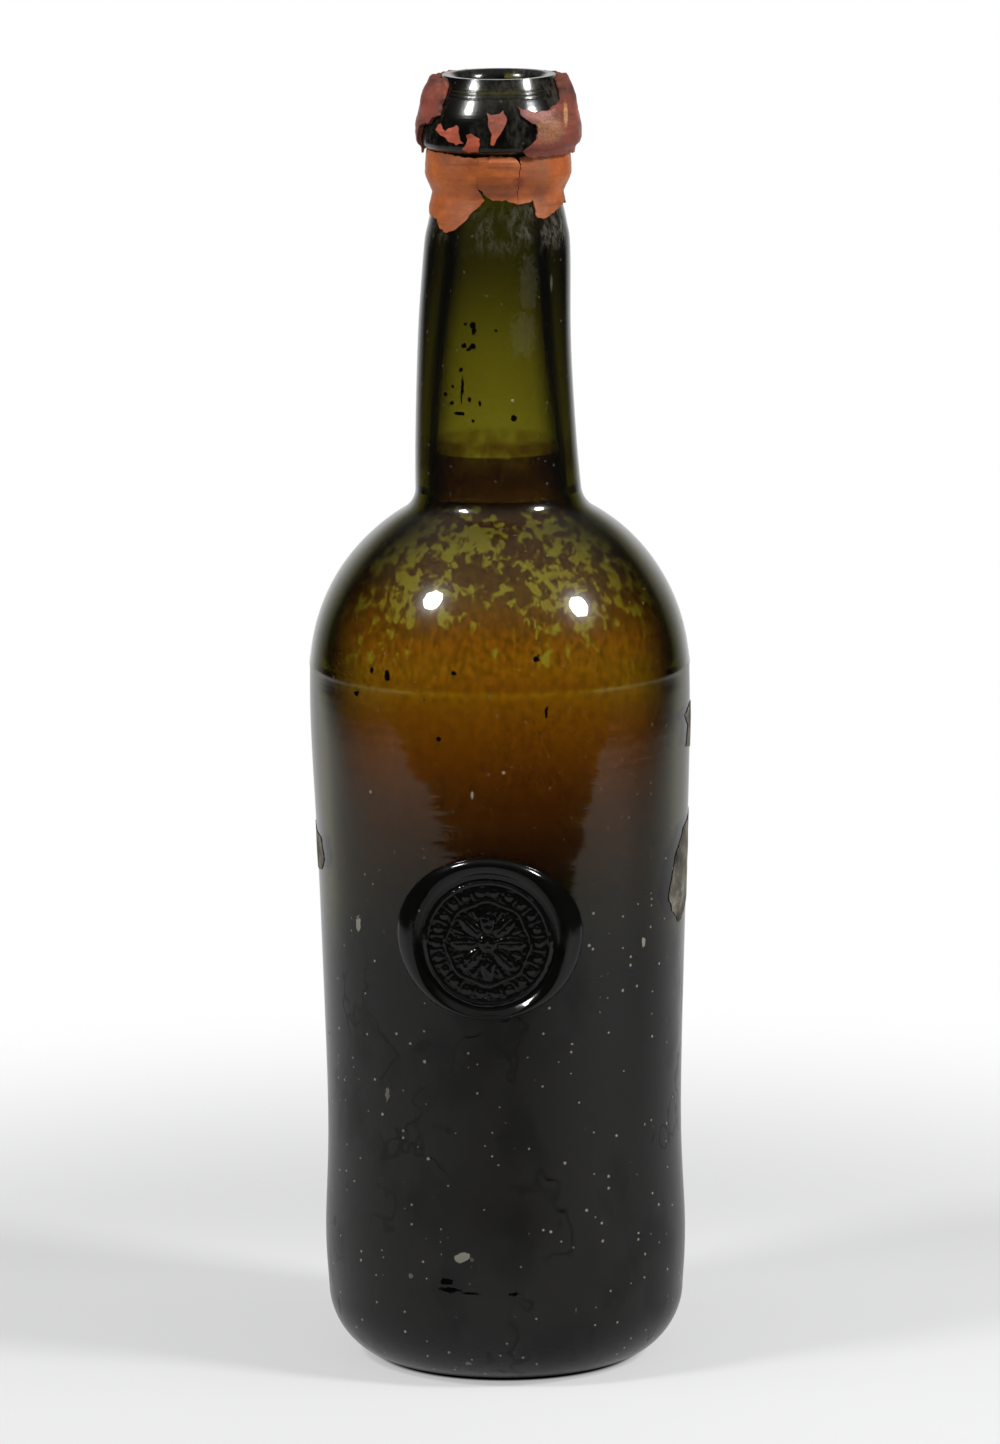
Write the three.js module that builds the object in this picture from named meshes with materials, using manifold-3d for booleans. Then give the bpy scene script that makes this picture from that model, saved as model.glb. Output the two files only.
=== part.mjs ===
// A cylinder wine bottle of dark olive glass, blown in a mould, with an applied
// glass seal on its front and the broken remains of a wax closure on its mouth.
// Millimetres, +Z up, +X to the viewer's right, the seal faces -Y.
// The origin is on the axis of the foot, in the plane the bottle stands on.

import * as THREE from "three";
import { mergeVertices } from "three/addons/utils/BufferGeometryUtils.js";
import Module from "manifold-3d";

const wasm = await Module();
wasm.setup();

// Overall sizes
const HEIGHT = 287.4; // foot to the top of the lip
const BODY_R = 42.1; // widest radius, just under the shoulder
const SHOULDER_Z = 154.8; // centre of the round shoulder, whose radius is BODY_R

// Body, from the foot up
const FOOT_R = 26; // middle of the flat ring that it stands on
const FOOT_WIDTH = 2.6; // width of that flat ring
const HEEL_HEIGHT = 15.5;
const HEEL_IN = 2.4; // how far the heel's top lies inside BODY_R
const SWELL_Z = 29;
const SWELL_IN = 1.8; // the slight swelling above the heel
const WAIST_Z = 56;
const WAIST_IN = 2.6; // the slight waist above that
const FULL_D = 14; // the side has almost its full radius this far under the shoulder's centre
const FULL_IN = 0.05; // how far it lies inside BODY_R there
const BODY_WALL = 3.4;
const PUNT_HEIGHT = 32; // the hollow pushed up into the base
const PUNT_WALL = 7;
const PUNT_CROWN = 0.48; // share of FOOT_R over which the hollow's top is nearly flat
const PUNT_SIDE_IN = 3; // how far the hollow leans in from the foot
const PUNT_SIDE = 0.45; // share of the hollow's height over which it does so
const MOAT_Z = 9; // lowest point of the inside, round the hollow
const MOAT_OUT = 2; // how far outside FOOT_R the lowest line runs
const MOAT_ROUND = 4; // how far the floor runs in before it rises over the hollow
const DOME_CROWN = 0.7; // share of FOOT_R over which the inside of the hollow is nearly flat

// Mould seam where the shoulder starts
const SEAM_RISE = 1.8; // above SHOULDER_Z
const SEAM_PROUD = 0.3;
const SEAM_WIDTH = 0.5;

// Neck, with its heights measured down from the lip
const NECK_FOOT_R = 18.3;
const NECK_FILLET = 6; // where the shoulder turns up into the neck
const NECK_FOOT_WALL = 4; // the wall is thickest at the swelling, and thins to this at the neck's foot
const NECK_SWELL = 2.7; // how far the swelling under the wax stands out from the straight neck
const NECK_SWELL_UNDER = 14.7; // how far under the ring it is widest
const NECK_HOLLOW = 0.1; // how far the neck's outside is hollow between its foot and the swelling
const NECK_TURN = 7; // the swelling turns in this far above its widest place
const NECK_TURN_OUT = 0.4; // how full that turn is
const BORE_R = 9.3;
const BORE_D = 41; // the bore is straight down to this depth, and opens out below it
const NECK_WALL = 4.2; // wall of the straight top of the neck
const NECK_END_D = 3.4; // the drawn end of the neck, inside the collar
const NECK_STRAIGHT_UNDER = 0.6; // the neck is straight down to this far under the ring

// Laid-on collar and the ring under it
const COLLAR_PROUD = 3.5; // how far the collar stands out from the neck
const COLLAR_HEIGHT = 16.1;
const MOUTH_FLARE = 1.9; // how far the bore opens out at the lip
const LIP_WIDTH = 1.2; // width of the lip's flat top
const CONE_D = 8.2; // the collar is a cone above this depth
const CONE_IN = 0.6; // how far the cone's foot lies inside the collar's radius
const LIP_ROUND_D = 2; // the cone is rounded to the lip above this depth
const LIP_ROUND_OUT = 0.9; // how far the cone's top stands outside the lip
const RING_PROUD = 1.6; // how far the ring stands out from the neck
const RING_HEIGHT = 8.4;
// Rounded outsides, rising: how far inside the full radius, and the share of the height.
const COLLAR_ROUND = [
  [1.5, 0],
  [0.3, 0.06],
  [0, 0.19],
];
const RING_ROUND = [
  [0.9, 0],
  [0.3, 0.24],
  [0, 0.45],
  [0.1, 0.81],
  [0.6, 1],
];

// Glass seal
const SEAL_Z = 101.8;
const SEAL_TURN = -4.6; // degrees round from the front
const SEAL_WIDTH = 41;
const SEAL_TALL = 36.4;
const DISC_R = 15.5; // the stamped disc inside the rim
const DISC_LOW = 0.75; // the disc's centre lies this far below the rim's
const SEAL_FIELD = 1.5; // height of the stamped field over the wall
const SEAL_CREST = 3; // height of the rim's crest over the wall
const SEAL_ROOT = 2; // the gob is made this deep, then cut to the wall
const RIM_INNER = [ // outside DISC_R, and height over the field
  [-0.9, -0.35],
  [0, 0.1],
  [0.35, 0.9],
];
const RIM_TOP = [ // outside DISC_R, and depth under the crest
  [0.9, 0.15],
  [1.4, 0],
];
const RIM_OUTER = [ // inside the edge, and depth under the crest
  [0.45, 0.55],
  [0.08, 1.5],
];
const SEAL_RING_R = 13.7; // raised ring inside the disc
const SEAL_RING = [ // outside its radius, and height over the field
  [-0.55, 0],
  [-0.2, 0.5],
  [0.2, 0.5],
  [0.5, -0.3],
];
const BEAD_RING_R = 11.3;
const BEADS = 22;
const BEAD_R = 0.95;
const BEAD_HEIGHT = 0.65;
const PETALS = 8;
const PETAL_OUT = 8.2; // outer end of a petal
const PETAL_HALF = 1.35; // half its width
const PETAL_HEIGHT = 0.75;
const BOSS_R = 2;
const BOSS_HEIGHT = 1.1;
const BOSS_GAP = 0.3; // between the boss and a petal
const FACE_BEND = 0.35; // share of the wall's curve that the stamped face follows
const FACE_SHARE = 0.8; // share of DISC_R up to which it does so

// Wax, crust and paper
const WAX = 0.9;
const WAX_EDGE = 0.55; // thickness at the hanging flakes
const WAX_EDGE_RUN = 5; // the skirt thins over this far under the ring
const WAX_LIP = 2.8; // the coat is built up to this under the lip
const WAX_LIP_D = 3; // depth of that place
const SKIRT_REACH = 11.2; // the skirt's shell runs this far under the ring, then is cut to patches
const SKIRT_LEAVES = 2.2; // it leaves the neck this far under the ring
const SKIRT_LANDS = 1.6; // and lies on the ring this far inside the ring's ends
// Between them it passes two points, with their depths from the ring's lower edge:
const CREASE_NECK = [0.3, 0.9]; // outside the straight neck
const CREASE_RING = [0.75, -0.4]; // inside the ring's radius
const COAT_END = 0.5; // the collar's coat ends this far above its lower edge
const COAT_OUTLINE = 0.9; // the outlines of its patches run on this far under that edge
const CRUST = 0.4;
const CRUST_BOTTOM = 10;
const CRUST_RUN = 11; // how far the crust runs up the neck from its foot
const CRUST_NOTCHES = [20, 95, 170, 250, 320]; // degrees round, in its top edge
const CRUST_NOTCH = [ // degrees from the notch's middle, and height over the edge
  [-14, 5],
  [-9, -1.5],
  [1, -4],
  [8, -1.2],
  [12, 5],
];
const PAPER = 0.3;
const PAPER_LOW = 96; // the scraps lie between these heights
const PAPER_HIGH = 150;

// Clearance between neighbours that touch on the real bottle
const CLEAR = 0.3;
const CRACK = 0.3;

const FACETS = 36;
const SAME_POINT = 1e-4; // points closer than this become one
const CUT_MARGIN = 0.2; // an outline's own points this close to a cut are dropped
const CUTTER_IN = 0.5; // a cutter runs from this radius
const CUTTER_OUT = 5 * BODY_R; // to this one

const NECK_TOP_R = BORE_R + NECK_WALL;
const NECK_SWELL_R = NECK_TOP_R + NECK_SWELL;
const COLLAR_R = NECK_TOP_R + COLLAR_PROUD;
const LIP_IN_R = BORE_R + MOUTH_FLARE;
const LIP_OUT_R = LIP_IN_R + LIP_WIDTH;
const RING_R = NECK_TOP_R + RING_PROUD;
const RING_TOP_D = COLLAR_HEIGHT + CLEAR;
const RING_BOTTOM_D = RING_TOP_D + RING_HEIGHT;
const NECK_STRAIGHT_D = RING_BOTTOM_D + NECK_STRAIGHT_UNDER;
const NECK_SWELL_D = RING_BOTTOM_D + NECK_SWELL_UNDER;
const COAT_CUT_D = COLLAR_HEIGHT + COAT_OUTLINE;
const FOOT_IN = FOOT_R - FOOT_WIDTH / 2;
const FOOT_OUT = FOOT_R + FOOT_WIDTH / 2;
const MOAT_R = FOOT_R + MOAT_OUT;

const down = (depth) => HEIGHT - depth;
const radians = THREE.MathUtils.degToRad;

// How far the centre line leans to the side at a height, a trait of the hand-finished neck.
// Each entry is the share of the height and the offset in millimetres.
const LEAN = new THREE.SplineCurve(
  [
    [0, 0],
    [0.25, -0.2],
    [0.4, -0.3],
    [0.52, -0.65],
    [0.61, -0.6],
    [0.66, -0.5],
    [0.72, -1.2],
    [0.8, -1.4],
    [0.88, -0.6],
    [1, -0.1],
  ].map(([share, side]) => new THREE.Vector2(share, side)),
);

function leanAt(z) {
  const share = THREE.MathUtils.clamp(z / HEIGHT, 0, 1);
  let low = 0;
  let high = 1;
  for (let step = 0; step < 24; step += 1) {
    const middle = (low + high) / 2;
    if (LEAN.getPoint(middle).x < share) low = middle;
    else high = middle;
  }
  return LEAN.getPoint(low).y;
}

// Outlines are lists of [radius, height].

function sample(curve, steps) {
  return curve.getPoints(steps).map((p) => [p.x, p.y]);
}

function spline(points, steps) {
  return sample(new THREE.SplineCurve(points.map(([r, z]) => new THREE.Vector2(r, z))), steps);
}

function arc(centre, radii, from, to, steps) {
  const [r, z] = centre;
  const clockwise = to < from;
  const curve = new THREE.EllipseCurve(r, z, radii[0], radii[1], from, to, clockwise);
  return sample(curve, steps);
}

// Moves an outline sideways, to the right of the way it runs. Both stretches that meet at a point
// move by the full distance, so the gap between an outline and its copy is even.
function offset(outline, distance) {
  const normals = outline.slice(1).map(([r, z], i) => {
    const [r0, z0] = outline[i];
    return new THREE.Vector2(z - z0, r0 - r).normalize();
  });
  return outline.map(([r, z], i) => {
    const before = normals[Math.max(i - 1, 0)];
    const after = normals[Math.min(i, normals.length - 1)];
    const middle = before.clone().add(after).normalize();
    const away = (typeof distance === "function" ? distance(r, z) : distance) / middle.dot(after);
    return [r + middle.x * away, z + middle.y * away];
  });
}

// The stretch of a rising outline between two heights.
function between(outline, low, high) {
  const at = (z) => [radiusAt(outline, z), z];
  const inside = outline.filter(([, z]) => z > low + CUT_MARGIN && z < high - CUT_MARGIN);
  return [at(low), ...inside, at(high)];
}

function radiusAt(outline, z) {
  const i = outline.findIndex((p, k) => k > 0 && p[1] >= z && outline[k - 1][1] <= z);
  if (i < 0) return z <= outline[0][1] ? outline[0][0] : outline[outline.length - 1][0];
  const [r0, z0] = outline[i - 1];
  const [r1, z1] = outline[i];
  return z1 === z0 ? r1 : THREE.MathUtils.mapLinear(z, z0, z1, r0, r1);
}

// Solids

function solid(geometry) {
  const bare = geometry.index ? geometry.toNonIndexed() : geometry.clone();
  bare.deleteAttribute("normal");
  bare.deleteAttribute("uv");
  const merged = mergeVertices(bare, SAME_POINT);
  return new wasm.Manifold(
    new wasm.Mesh({
      numProp: 3,
      vertProperties: new Float32Array(merged.attributes.position.array),
      triVerts: new Uint32Array(merged.index.array),
    }),
  );
}

function geometryOf(made) {
  const mesh = made.getMesh();
  const geometry = new THREE.BufferGeometry();
  geometry.setAttribute("position", new THREE.BufferAttribute(new Float32Array(mesh.vertProperties), 3));
  geometry.setIndex(new THREE.BufferAttribute(new Uint32Array(mesh.triVerts), 1));
  return geometry;
}

// Calls move(x, y, z) for each vertex and stores the place it gives.
function reshape(geometry, move) {
  const position = geometry.attributes.position;
  for (let i = 0; i < position.count; i += 1) {
    position.setXYZ(i, ...move(position.getX(i), position.getY(i), position.getZ(i)));
  }
  return geometry;
}

// Turns an outline round the bottle's axis. Angle 0 is the front, and it grows to the right.
function revolve(outline, facets = FACETS) {
  const points = outline.map(([r, z]) => new THREE.Vector2(r, z));
  return new THREE.LatheGeometry(points, facets).rotateX(Math.PI / 2);
}

// A thin shell over a rising outline, from near to far outside it.
function shell(outline, near, far) {
  const inner = offset(outline, near);
  const outer = offset(outline, far);
  return solid(revolve([...outer, ...inner.reverse(), outer[0]]));
}

// A prism whose outline is drawn in degrees round the axis and millimetres of height.
// It cuts a patch out of a shell that lies between two radii. Its ends are far inside and
// outside the shell, so that only its sides, which run straight out, meet the shell.
function radialPrism(outline, inner, outer) {
  const radii = [CUTTER_IN, inner, outer, CUTTER_OUT];
  const steps = radii.length - 1;
  const shape = new THREE.Shape(outline.map(([turn, z]) => new THREE.Vector2(turn, z)));
  const plate = new THREE.ExtrudeGeometry(shape, { depth: steps, bevelEnabled: false, steps });
  reshape(plate, (turn, z, step) => {
    const r = radii[Math.round(step)];
    return [r * Math.sin(radians(turn)), -r * Math.cos(radians(turn)), z];
  });
  return solid(plate);
}

// Outlines of the glass

function heel() {
  const radii = [BODY_R - HEEL_IN - FOOT_OUT, HEEL_HEIGHT];
  return arc([FOOT_OUT, HEEL_HEIGHT], radii, -Math.PI / 2, 0, 5);
}

function bodySide() {
  const top = SHOULDER_Z + SEAM_RISE - 2 * SEAM_WIDTH;
  return spline(
    [
      [BODY_R - HEEL_IN, HEEL_HEIGHT],
      [BODY_R - SWELL_IN, SWELL_Z],
      [BODY_R - WAIST_IN, WAIST_Z],
      [BODY_R - WAIST_IN / 2, (WAIST_Z + SHOULDER_Z) / 2],
      [BODY_R - FULL_IN, SHOULDER_Z - FULL_D],
      [BODY_R, top],
    ],
    7,
  );
}

// The shoulder is part of a ball, and a fillet turns it up into the neck.
function shoulder() {
  const reach = BODY_R + NECK_FILLET;
  const side = NECK_FOOT_R + NECK_FILLET;
  const rise = Math.sqrt(reach * reach - side * side);
  const turn = Math.atan2(rise, side);
  const start = Math.asin((SEAM_RISE + 2 * SEAM_WIDTH) / BODY_R);
  const ball = arc([0, SHOULDER_Z], [BODY_R, BODY_R], start, turn, 7);
  const fillet = arc([side, SHOULDER_Z + rise], [NECK_FILLET, NECK_FILLET], turn + Math.PI, Math.PI, 3);
  return [...ball, ...fillet.slice(1)];
}

function neckSide(foot) {
  const lower = spline(
    [
      [NECK_FOOT_R, foot],
      [(NECK_FOOT_R + NECK_SWELL_R) / 2 - NECK_HOLLOW, (foot + down(NECK_SWELL_D)) / 2],
      [NECK_SWELL_R, down(NECK_SWELL_D)],
      [(NECK_SWELL_R + NECK_TOP_R) / 2 + NECK_TURN_OUT, down(NECK_SWELL_D - NECK_TURN)],
      [NECK_TOP_R, down(NECK_STRAIGHT_D)],
    ],
    8,
  );
  return [...lower, [NECK_TOP_R, down(NECK_END_D)]];
}

// The whole outside from the foot to the drawn end of the neck, without the seam.
function outside() {
  const top = shoulder();
  const foot = top[top.length - 1][1];
  return [...heel(), ...bodySide().slice(1), ...top, ...neckSide(foot).slice(1)];
}

function seamRidge() {
  const z = SHOULDER_Z + SEAM_RISE;
  const proud = BODY_R + SEAM_PROUD;
  return [
    [proud, z - SEAM_WIDTH / 2],
    [proud, z + SEAM_WIDTH / 2],
  ];
}

// The inside wall above the heel, rising: an even wall up the body and over the shoulder, then
// the neck's inside, which narrows to the bore.
function insideWall() {
  const top = shoulder();
  const foot = top.at(-1)[1];
  const lower = [...bodySide(), ...top].filter((p, i) => i % 2 === 0);
  const bore = spline(
    [
      [NECK_FOOT_R - NECK_FOOT_WALL, foot],
      [(NECK_FOOT_R - NECK_FOOT_WALL + BORE_R) / 2, (foot + down(BORE_D)) / 2],
      [BORE_R, down(BORE_D)],
    ],
    4,
  );
  return [...offset(lower, -BODY_WALL).slice(0, -1), ...bore, [BORE_R, down(NECK_END_D)]];
}

// The moat round the hollow, from the wall down to its lowest line.
function moat() {
  const [wallR, wallZ] = insideWall()[0];
  return arc([MOAT_R, wallZ], [wallR - MOAT_R, wallZ - MOAT_Z], 0, -Math.PI / 2, 3);
}

// The inside over the hollow, from the moat's lowest line up to the middle.
function insideDome() {
  const top = PUNT_HEIGHT + PUNT_WALL;
  const dome = new THREE.CubicBezierCurve(
    new THREE.Vector2(MOAT_R, MOAT_Z),
    new THREE.Vector2(MOAT_R - MOAT_ROUND, MOAT_Z),
    new THREE.Vector2(DOME_CROWN * FOOT_R, top),
    new THREE.Vector2(0, top),
  );
  return sample(dome, 5);
}

function puntUnderside() {
  const dome = new THREE.CubicBezierCurve(
    new THREE.Vector2(0, PUNT_HEIGHT),
    new THREE.Vector2(PUNT_CROWN * FOOT_R, PUNT_HEIGHT),
    new THREE.Vector2(FOOT_IN - PUNT_SIDE_IN, PUNT_SIDE * PUNT_HEIGHT),
    new THREE.Vector2(FOOT_IN, 0),
  );
  return sample(dome, 5);
}

function bottleBody() {
  const line = outside();
  const split = line.findIndex(([, z]) => z > SHOULDER_Z + SEAM_RISE);
  return solid(
    revolve([
      ...puntUnderside(),
      ...line.slice(0, split),
      ...seamRidge(),
      ...line.slice(split),
      ...insideWall().reverse(),
      ...moat().slice(1),
      ...insideDome().slice(1),
    ]),
  );
}

// The collar's outside, rising from its lower edge to the flat top of the lip.
function collarSide() {
  return spline(
    [
      ...COLLAR_ROUND.map(([inside, share]) => [COLLAR_R - inside, down((1 - share) * COLLAR_HEIGHT)]),
      [COLLAR_R - CONE_IN, down(CONE_D)],
      [LIP_OUT_R + LIP_ROUND_OUT, down(LIP_ROUND_D)],
      [LIP_OUT_R, down(0)],
    ],
    9,
  );
}

function lipCollar() {
  const seat = NECK_TOP_R + CLEAR;
  const ledge = down(NECK_END_D - CLEAR);
  const flare = arc([LIP_IN_R, ledge], [MOUTH_FLARE, HEIGHT - ledge], Math.PI / 2, Math.PI, 4);
  return solid(
    revolve([
      [seat, down(COLLAR_HEIGHT)],
      ...collarSide(),
      ...flare,
      [seat, ledge],
      [seat, down(COLLAR_HEIGHT)],
    ]),
  );
}

// The ring's outside, rising.
function ringSide() {
  const line = RING_ROUND.map(([inside, share]) => [
    RING_R - inside,
    down(RING_BOTTOM_D - share * RING_HEIGHT),
  ]);
  return spline(line, 6);
}

function stringRing() {
  const seat = NECK_TOP_R + CLEAR;
  return solid(
    revolve([
      [seat, down(RING_BOTTOM_D)],
      ...ringSide(),
      [seat, down(RING_TOP_D)],
      [seat, down(RING_BOTTOM_D)],
    ]),
  );
}

// Wax. The skirt bridges the creases between neck and ring, and the collar has its own coat.

function skirtBed() {
  const neckPart = between(
    outside(),
    down(RING_BOTTOM_D + SKIRT_REACH),
    down(RING_BOTTOM_D + SKIRT_LEAVES),
  );
  const bridge = [
    [NECK_TOP_R + CREASE_NECK[0], down(RING_BOTTOM_D + CREASE_NECK[1])],
    [RING_R - CREASE_RING[0], down(RING_BOTTOM_D + CREASE_RING[1])],
  ];
  const ringPart = between(
    ringSide(),
    down(RING_BOTTOM_D - SKIRT_LANDS),
    down(RING_TOP_D + SKIRT_LANDS),
  );
  return [...neckPart, ...bridge, ...ringPart, [RING_R, down(RING_TOP_D)]];
}

function skirtShell() {
  const thin = down(RING_BOTTOM_D + WAX_EDGE_RUN);
  const thick = down(RING_BOTTOM_D);
  const outer = (r, z) => CLEAR + THREE.MathUtils.mapLinear(
    THREE.MathUtils.clamp(z, thin, thick), thin, thick, WAX_EDGE, WAX,
  );
  return shell(skirtBed(), CLEAR, outer);
}

// The collar's coat, built up from the cone's foot to a thickness under the lip.
function collarCoat(thickest) {
  const bed = collarSide().filter(([, z]) => z > down(COLLAR_HEIGHT - COAT_END));
  const outer = (r, z) => CLEAR + THREE.MathUtils.mapLinear(
    THREE.MathUtils.clamp(z, down(CONE_D), down(WAX_LIP_D)), down(CONE_D), down(WAX_LIP_D), WAX, thickest,
  );
  return shell(bed, CLEAR, outer);
}

// Outlines of the wax: degrees round from the front, and depth. The skirt's depths are from the
// ring's lower edge, and the others are from the lip.
const half = CRACK / 2 / radians(1) / RING_R;
const LEFT_CRACK = -16.5;
const RIGHT_CRACK = 17;
const SIDE_CRACK = 100;

const SKIRT_PATCHES = {
  wax_skirt_left: [
    [-SIDE_CRACK + half, -14.8],
    [LEFT_CRACK - half, -14.8],
    [LEFT_CRACK - half, -0.8],
    [-12, 1.5],
    [-21, 3.7],
    [-27.5, 5.9],
    [-35, 7.8],
    [-43.7, 8.7],
    [-52, 8],
    [-58.5, 6.1],
    [-77, 5.3],
    [-88, 3.8],
    [-SIDE_CRACK + half, 4.4],
  ],
  wax_skirt_front: [
    [LEFT_CRACK + half, -14.8],
    [RIGHT_CRACK - half, -14.8],
    [RIGHT_CRACK - half, 2.3],
    [7, 1.2],
    [-4.5, 1.4],
    [-10.5, 0.4],
    [LEFT_CRACK + half, -1.1],
  ],
  wax_skirt_right: [
    [RIGHT_CRACK + half, -14.8],
    [SIDE_CRACK - half, -14.8],
    [SIDE_CRACK - half, 4],
    [88, 2.8],
    [69, 3.5],
    [52, 4.8],
    [40, 5.7],
    [34.8, 5.4],
    [31.8, 1.4],
    [27, 2],
    [RIGHT_CRACK + half, 2.3],
  ],
  wax_skirt_back: [
    [SIDE_CRACK + half, -14.8],
    [360 - SIDE_CRACK - half, -14.8],
    [360 - SIDE_CRACK - half, 4.6],
    [236, 3.4],
    [214, 6],
    [196, 4.1],
    [177, 3.2],
    [158, 6.6],
    [139, 4.2],
    [121, 3],
    [SIDE_CRACK + half, 3.8],
  ],
};

const COAT_PATCHES = {
  wax_collar_left: [
    [-61, 0.4],
    [-55, 1.5],
    [-52.4, 4.1],
    [-50, 7.8],
    [-58.8, 9.6],
    [-73.5, 10.6],
    [-79, 13],
    [-84, COAT_CUT_D],
    [-150, COAT_CUT_D],
    [-180, 12],
    [-183, 7],
    [-186, 0.4],
  ],
  wax_collar_right: [
    [72, 0.4],
    [68, 3.6],
    [62, 5],
    [41, 6.7],
    [29.4, 7],
    [15.3, 5.5],
    [16.9, 7.4],
    [29.1, 9.9],
    [29, 12.7],
    [18.4, 15.3],
    [20, COAT_CUT_D],
    [150, COAT_CUT_D],
    [152, 12],
    [157, 6],
    [159, 0.4],
  ],
};

const FLAKE_PATCHES = {
  wax_flake_left: [
    [-53, 11],
    [-48, 9.6],
    [-42.6, 11.2],
    [-39.6, 10.4],
    [-32.5, 9.6],
    [-29.6, 12.1],
    [-26, 13.6],
    [-32, 14],
    [-40.8, 12.8],
    [-47.3, 12.1],
  ],
  wax_flake_middle: [
    [-24.4, 11.7],
    [-20.8, 11.3],
    [-13.6, 12.4],
    [-14.7, 15],
    [-23, 15.2],
    [-25.2, 13.9],
  ],
  wax_flake_right: [
    [-9.4, 6.8],
    [-2.6, 7.2],
    [3.7, 6.3],
    [6.3, 8.3],
    [2.9, 10.6],
    [-3.5, 13.9],
    [-5.8, 13.7],
    [-4.7, 11.5],
    [-7.9, 9.2],
  ],
};

function patch(from, outline, start) {
  const placed = outline.map(([turn, depth]) => [turn, down(start + depth)]);
  return from.intersect(radialPrism(placed, BORE_R, COLLAR_R + CLEAR + WAX_LIP));
}

// Dried wine deposit: a thin crust from the moat up the wall, flaked to a ragged edge in the neck.
function wineCrust() {
  const top = shoulder().at(-1)[1] + CRUST_RUN;
  const bed = between([...moat().reverse(), ...insideWall().slice(1)], CRUST_BOTTOM, top);
  const crust = shell(bed, -CLEAR - CRUST, -CLEAR);
  const notches = CRUST_NOTCHES.map((turn) => {
    const outline = CRUST_NOTCH.map(([aside, rise]) => [turn + aside, top + rise]);
    return radialPrism(outline, BORE_R / 2, NECK_FOOT_R);
  });
  return crust.subtract(wasm.Manifold.union(notches));
}

// Paper remnants of a label that sat on the back, at the body's edges.
// Outlines: degrees round from the front, and height.
const PAPER_SCRAPS = {
  label_scrap_upper: [
    [75, 146.5],
    [80, 143.2],
    [77, 139],
    [88, 138],
    [97, 141],
    [99, 147],
    [84, 148],
  ],
  label_scrap_lower: [
    [76, 121],
    [68, 115.5],
    [63.5, 107],
    [66, 103.5],
    [73, 100],
    [84, 103],
    [96, 106],
    [101, 116],
    [92, 123.5],
  ],
  label_scrap_left: [
    [-76, 119],
    [-73.5, 114.5],
    [-77, 112],
    [-86, 111],
    [-95, 113.5],
    [-92, 121],
  ],
};

function paperScrap(outline) {
  const bed = between(outside(), PAPER_LOW, PAPER_HIGH);
  const cutter = radialPrism(outline, BODY_R - BODY_WALL, BODY_R + BODY_WALL);
  return shell(bed, CLEAR, CLEAR + PAPER).intersect(cutter);
}

// The seal is made flat, with its face up, then pressed round the wall.

function sealGob() {
  const edge = SEAL_TALL / 2;
  const rim = [
    ...RIM_INNER.map(([out, rise]) => [DISC_R + out, SEAL_FIELD + rise]),
    ...RIM_TOP.map(([out, drop]) => [DISC_R + out, SEAL_CREST - drop]),
    ...RIM_OUTER.map(([inside, drop]) => [edge - inside, SEAL_CREST - drop]),
    [edge, 0],
    [edge, -SEAL_ROOT],
  ];
  const ring = SEAL_RING.map(([out, rise]) => [SEAL_RING_R + out, SEAL_FIELD + rise]);
  const profile = [[0, SEAL_FIELD], ...ring, ...rim, [0, -SEAL_ROOT]].reverse();
  // The disc stays round while the rim spreads to the seal's width, and it sits a little low.
  const spread = (SEAL_WIDTH - SEAL_TALL) / 2;
  const lathe = new THREE.LatheGeometry(
    profile.map(([r, z]) => new THREE.Vector2(r, z)),
    FACETS,
  ).rotateX(Math.PI / 2);
  return reshape(lathe, (x, y, z) => {
    const r = Math.hypot(x, y);
    const share = THREE.MathUtils.smoothstep(r, DISC_R, edge);
    const wide = r > 0 ? (r + spread * share) / r : 1;
    return [x * wide, y + DISC_LOW * share, z];
  });
}

// A low round boss on the field: a ball flattened to a height, lying along a direction.
function blob(length, width, height, along, turn, rows = 6) {
  const ball = new THREE.SphereGeometry(1, 8, rows).rotateX(Math.PI / 2);
  ball.scale(length, width, height);
  ball.translate(along, 0, SEAL_FIELD);
  return solid(ball.rotateZ(turn));
}

// A plain rosette of petals inside a ring of beads.
function sealRelief() {
  const raised = [blob(BOSS_R, BOSS_R, BOSS_HEIGHT, 0, 0)];
  for (let i = 0; i < PETALS; i += 1) {
    const inner = BOSS_R + BOSS_GAP;
    const turn = (i * 2 * Math.PI) / PETALS;
    const length = (PETAL_OUT - inner) / 2;
    raised.push(blob(length, PETAL_HALF, PETAL_HEIGHT, (PETAL_OUT + inner) / 2, turn));
  }
  for (let i = 0; i < BEADS; i += 1) {
    raised.push(blob(BEAD_R, BEAD_R, BEAD_HEIGHT, BEAD_RING_R, (i * 2 * Math.PI) / BEADS, 4));
  }
  return wasm.Manifold.union(raised);
}

function glassSeal() {
  const wallR = radiusAt(outside(), SEAL_Z);
  const flat = solid(sealGob()).add(sealRelief());
  // The wall falls away to the sides: the rim follows it all the way, the stamped face a third.
  const pressed = reshape(geometryOf(flat), (x, y, z) => {
    const fall = Math.sqrt(Math.max(wallR * wallR - x * x, 0)) - wallR;
    const r = Math.hypot(x, y);
    const follow = THREE.MathUtils.smoothstep(r, FACE_SHARE * DISC_R, SEAL_WIDTH / 2);
    return [x, y, z + fall * THREE.MathUtils.lerp(FACE_BEND, 1, follow)];
  });
  pressed.rotateX(Math.PI / 2);
  pressed.translate(0, -wallR, SEAL_Z);
  pressed.rotateZ(radians(SEAL_TURN));
  const bed = between(outside(), SEAL_Z - SEAL_TALL, SEAL_Z + SEAL_TALL);
  const wall = solid(revolve([[0, bed[0][1]], ...offset(bed, CLEAR), [0, bed.at(-1)[1]]]));
  return solid(pressed).subtract(wall);
}

// Materials as photographed

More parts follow.
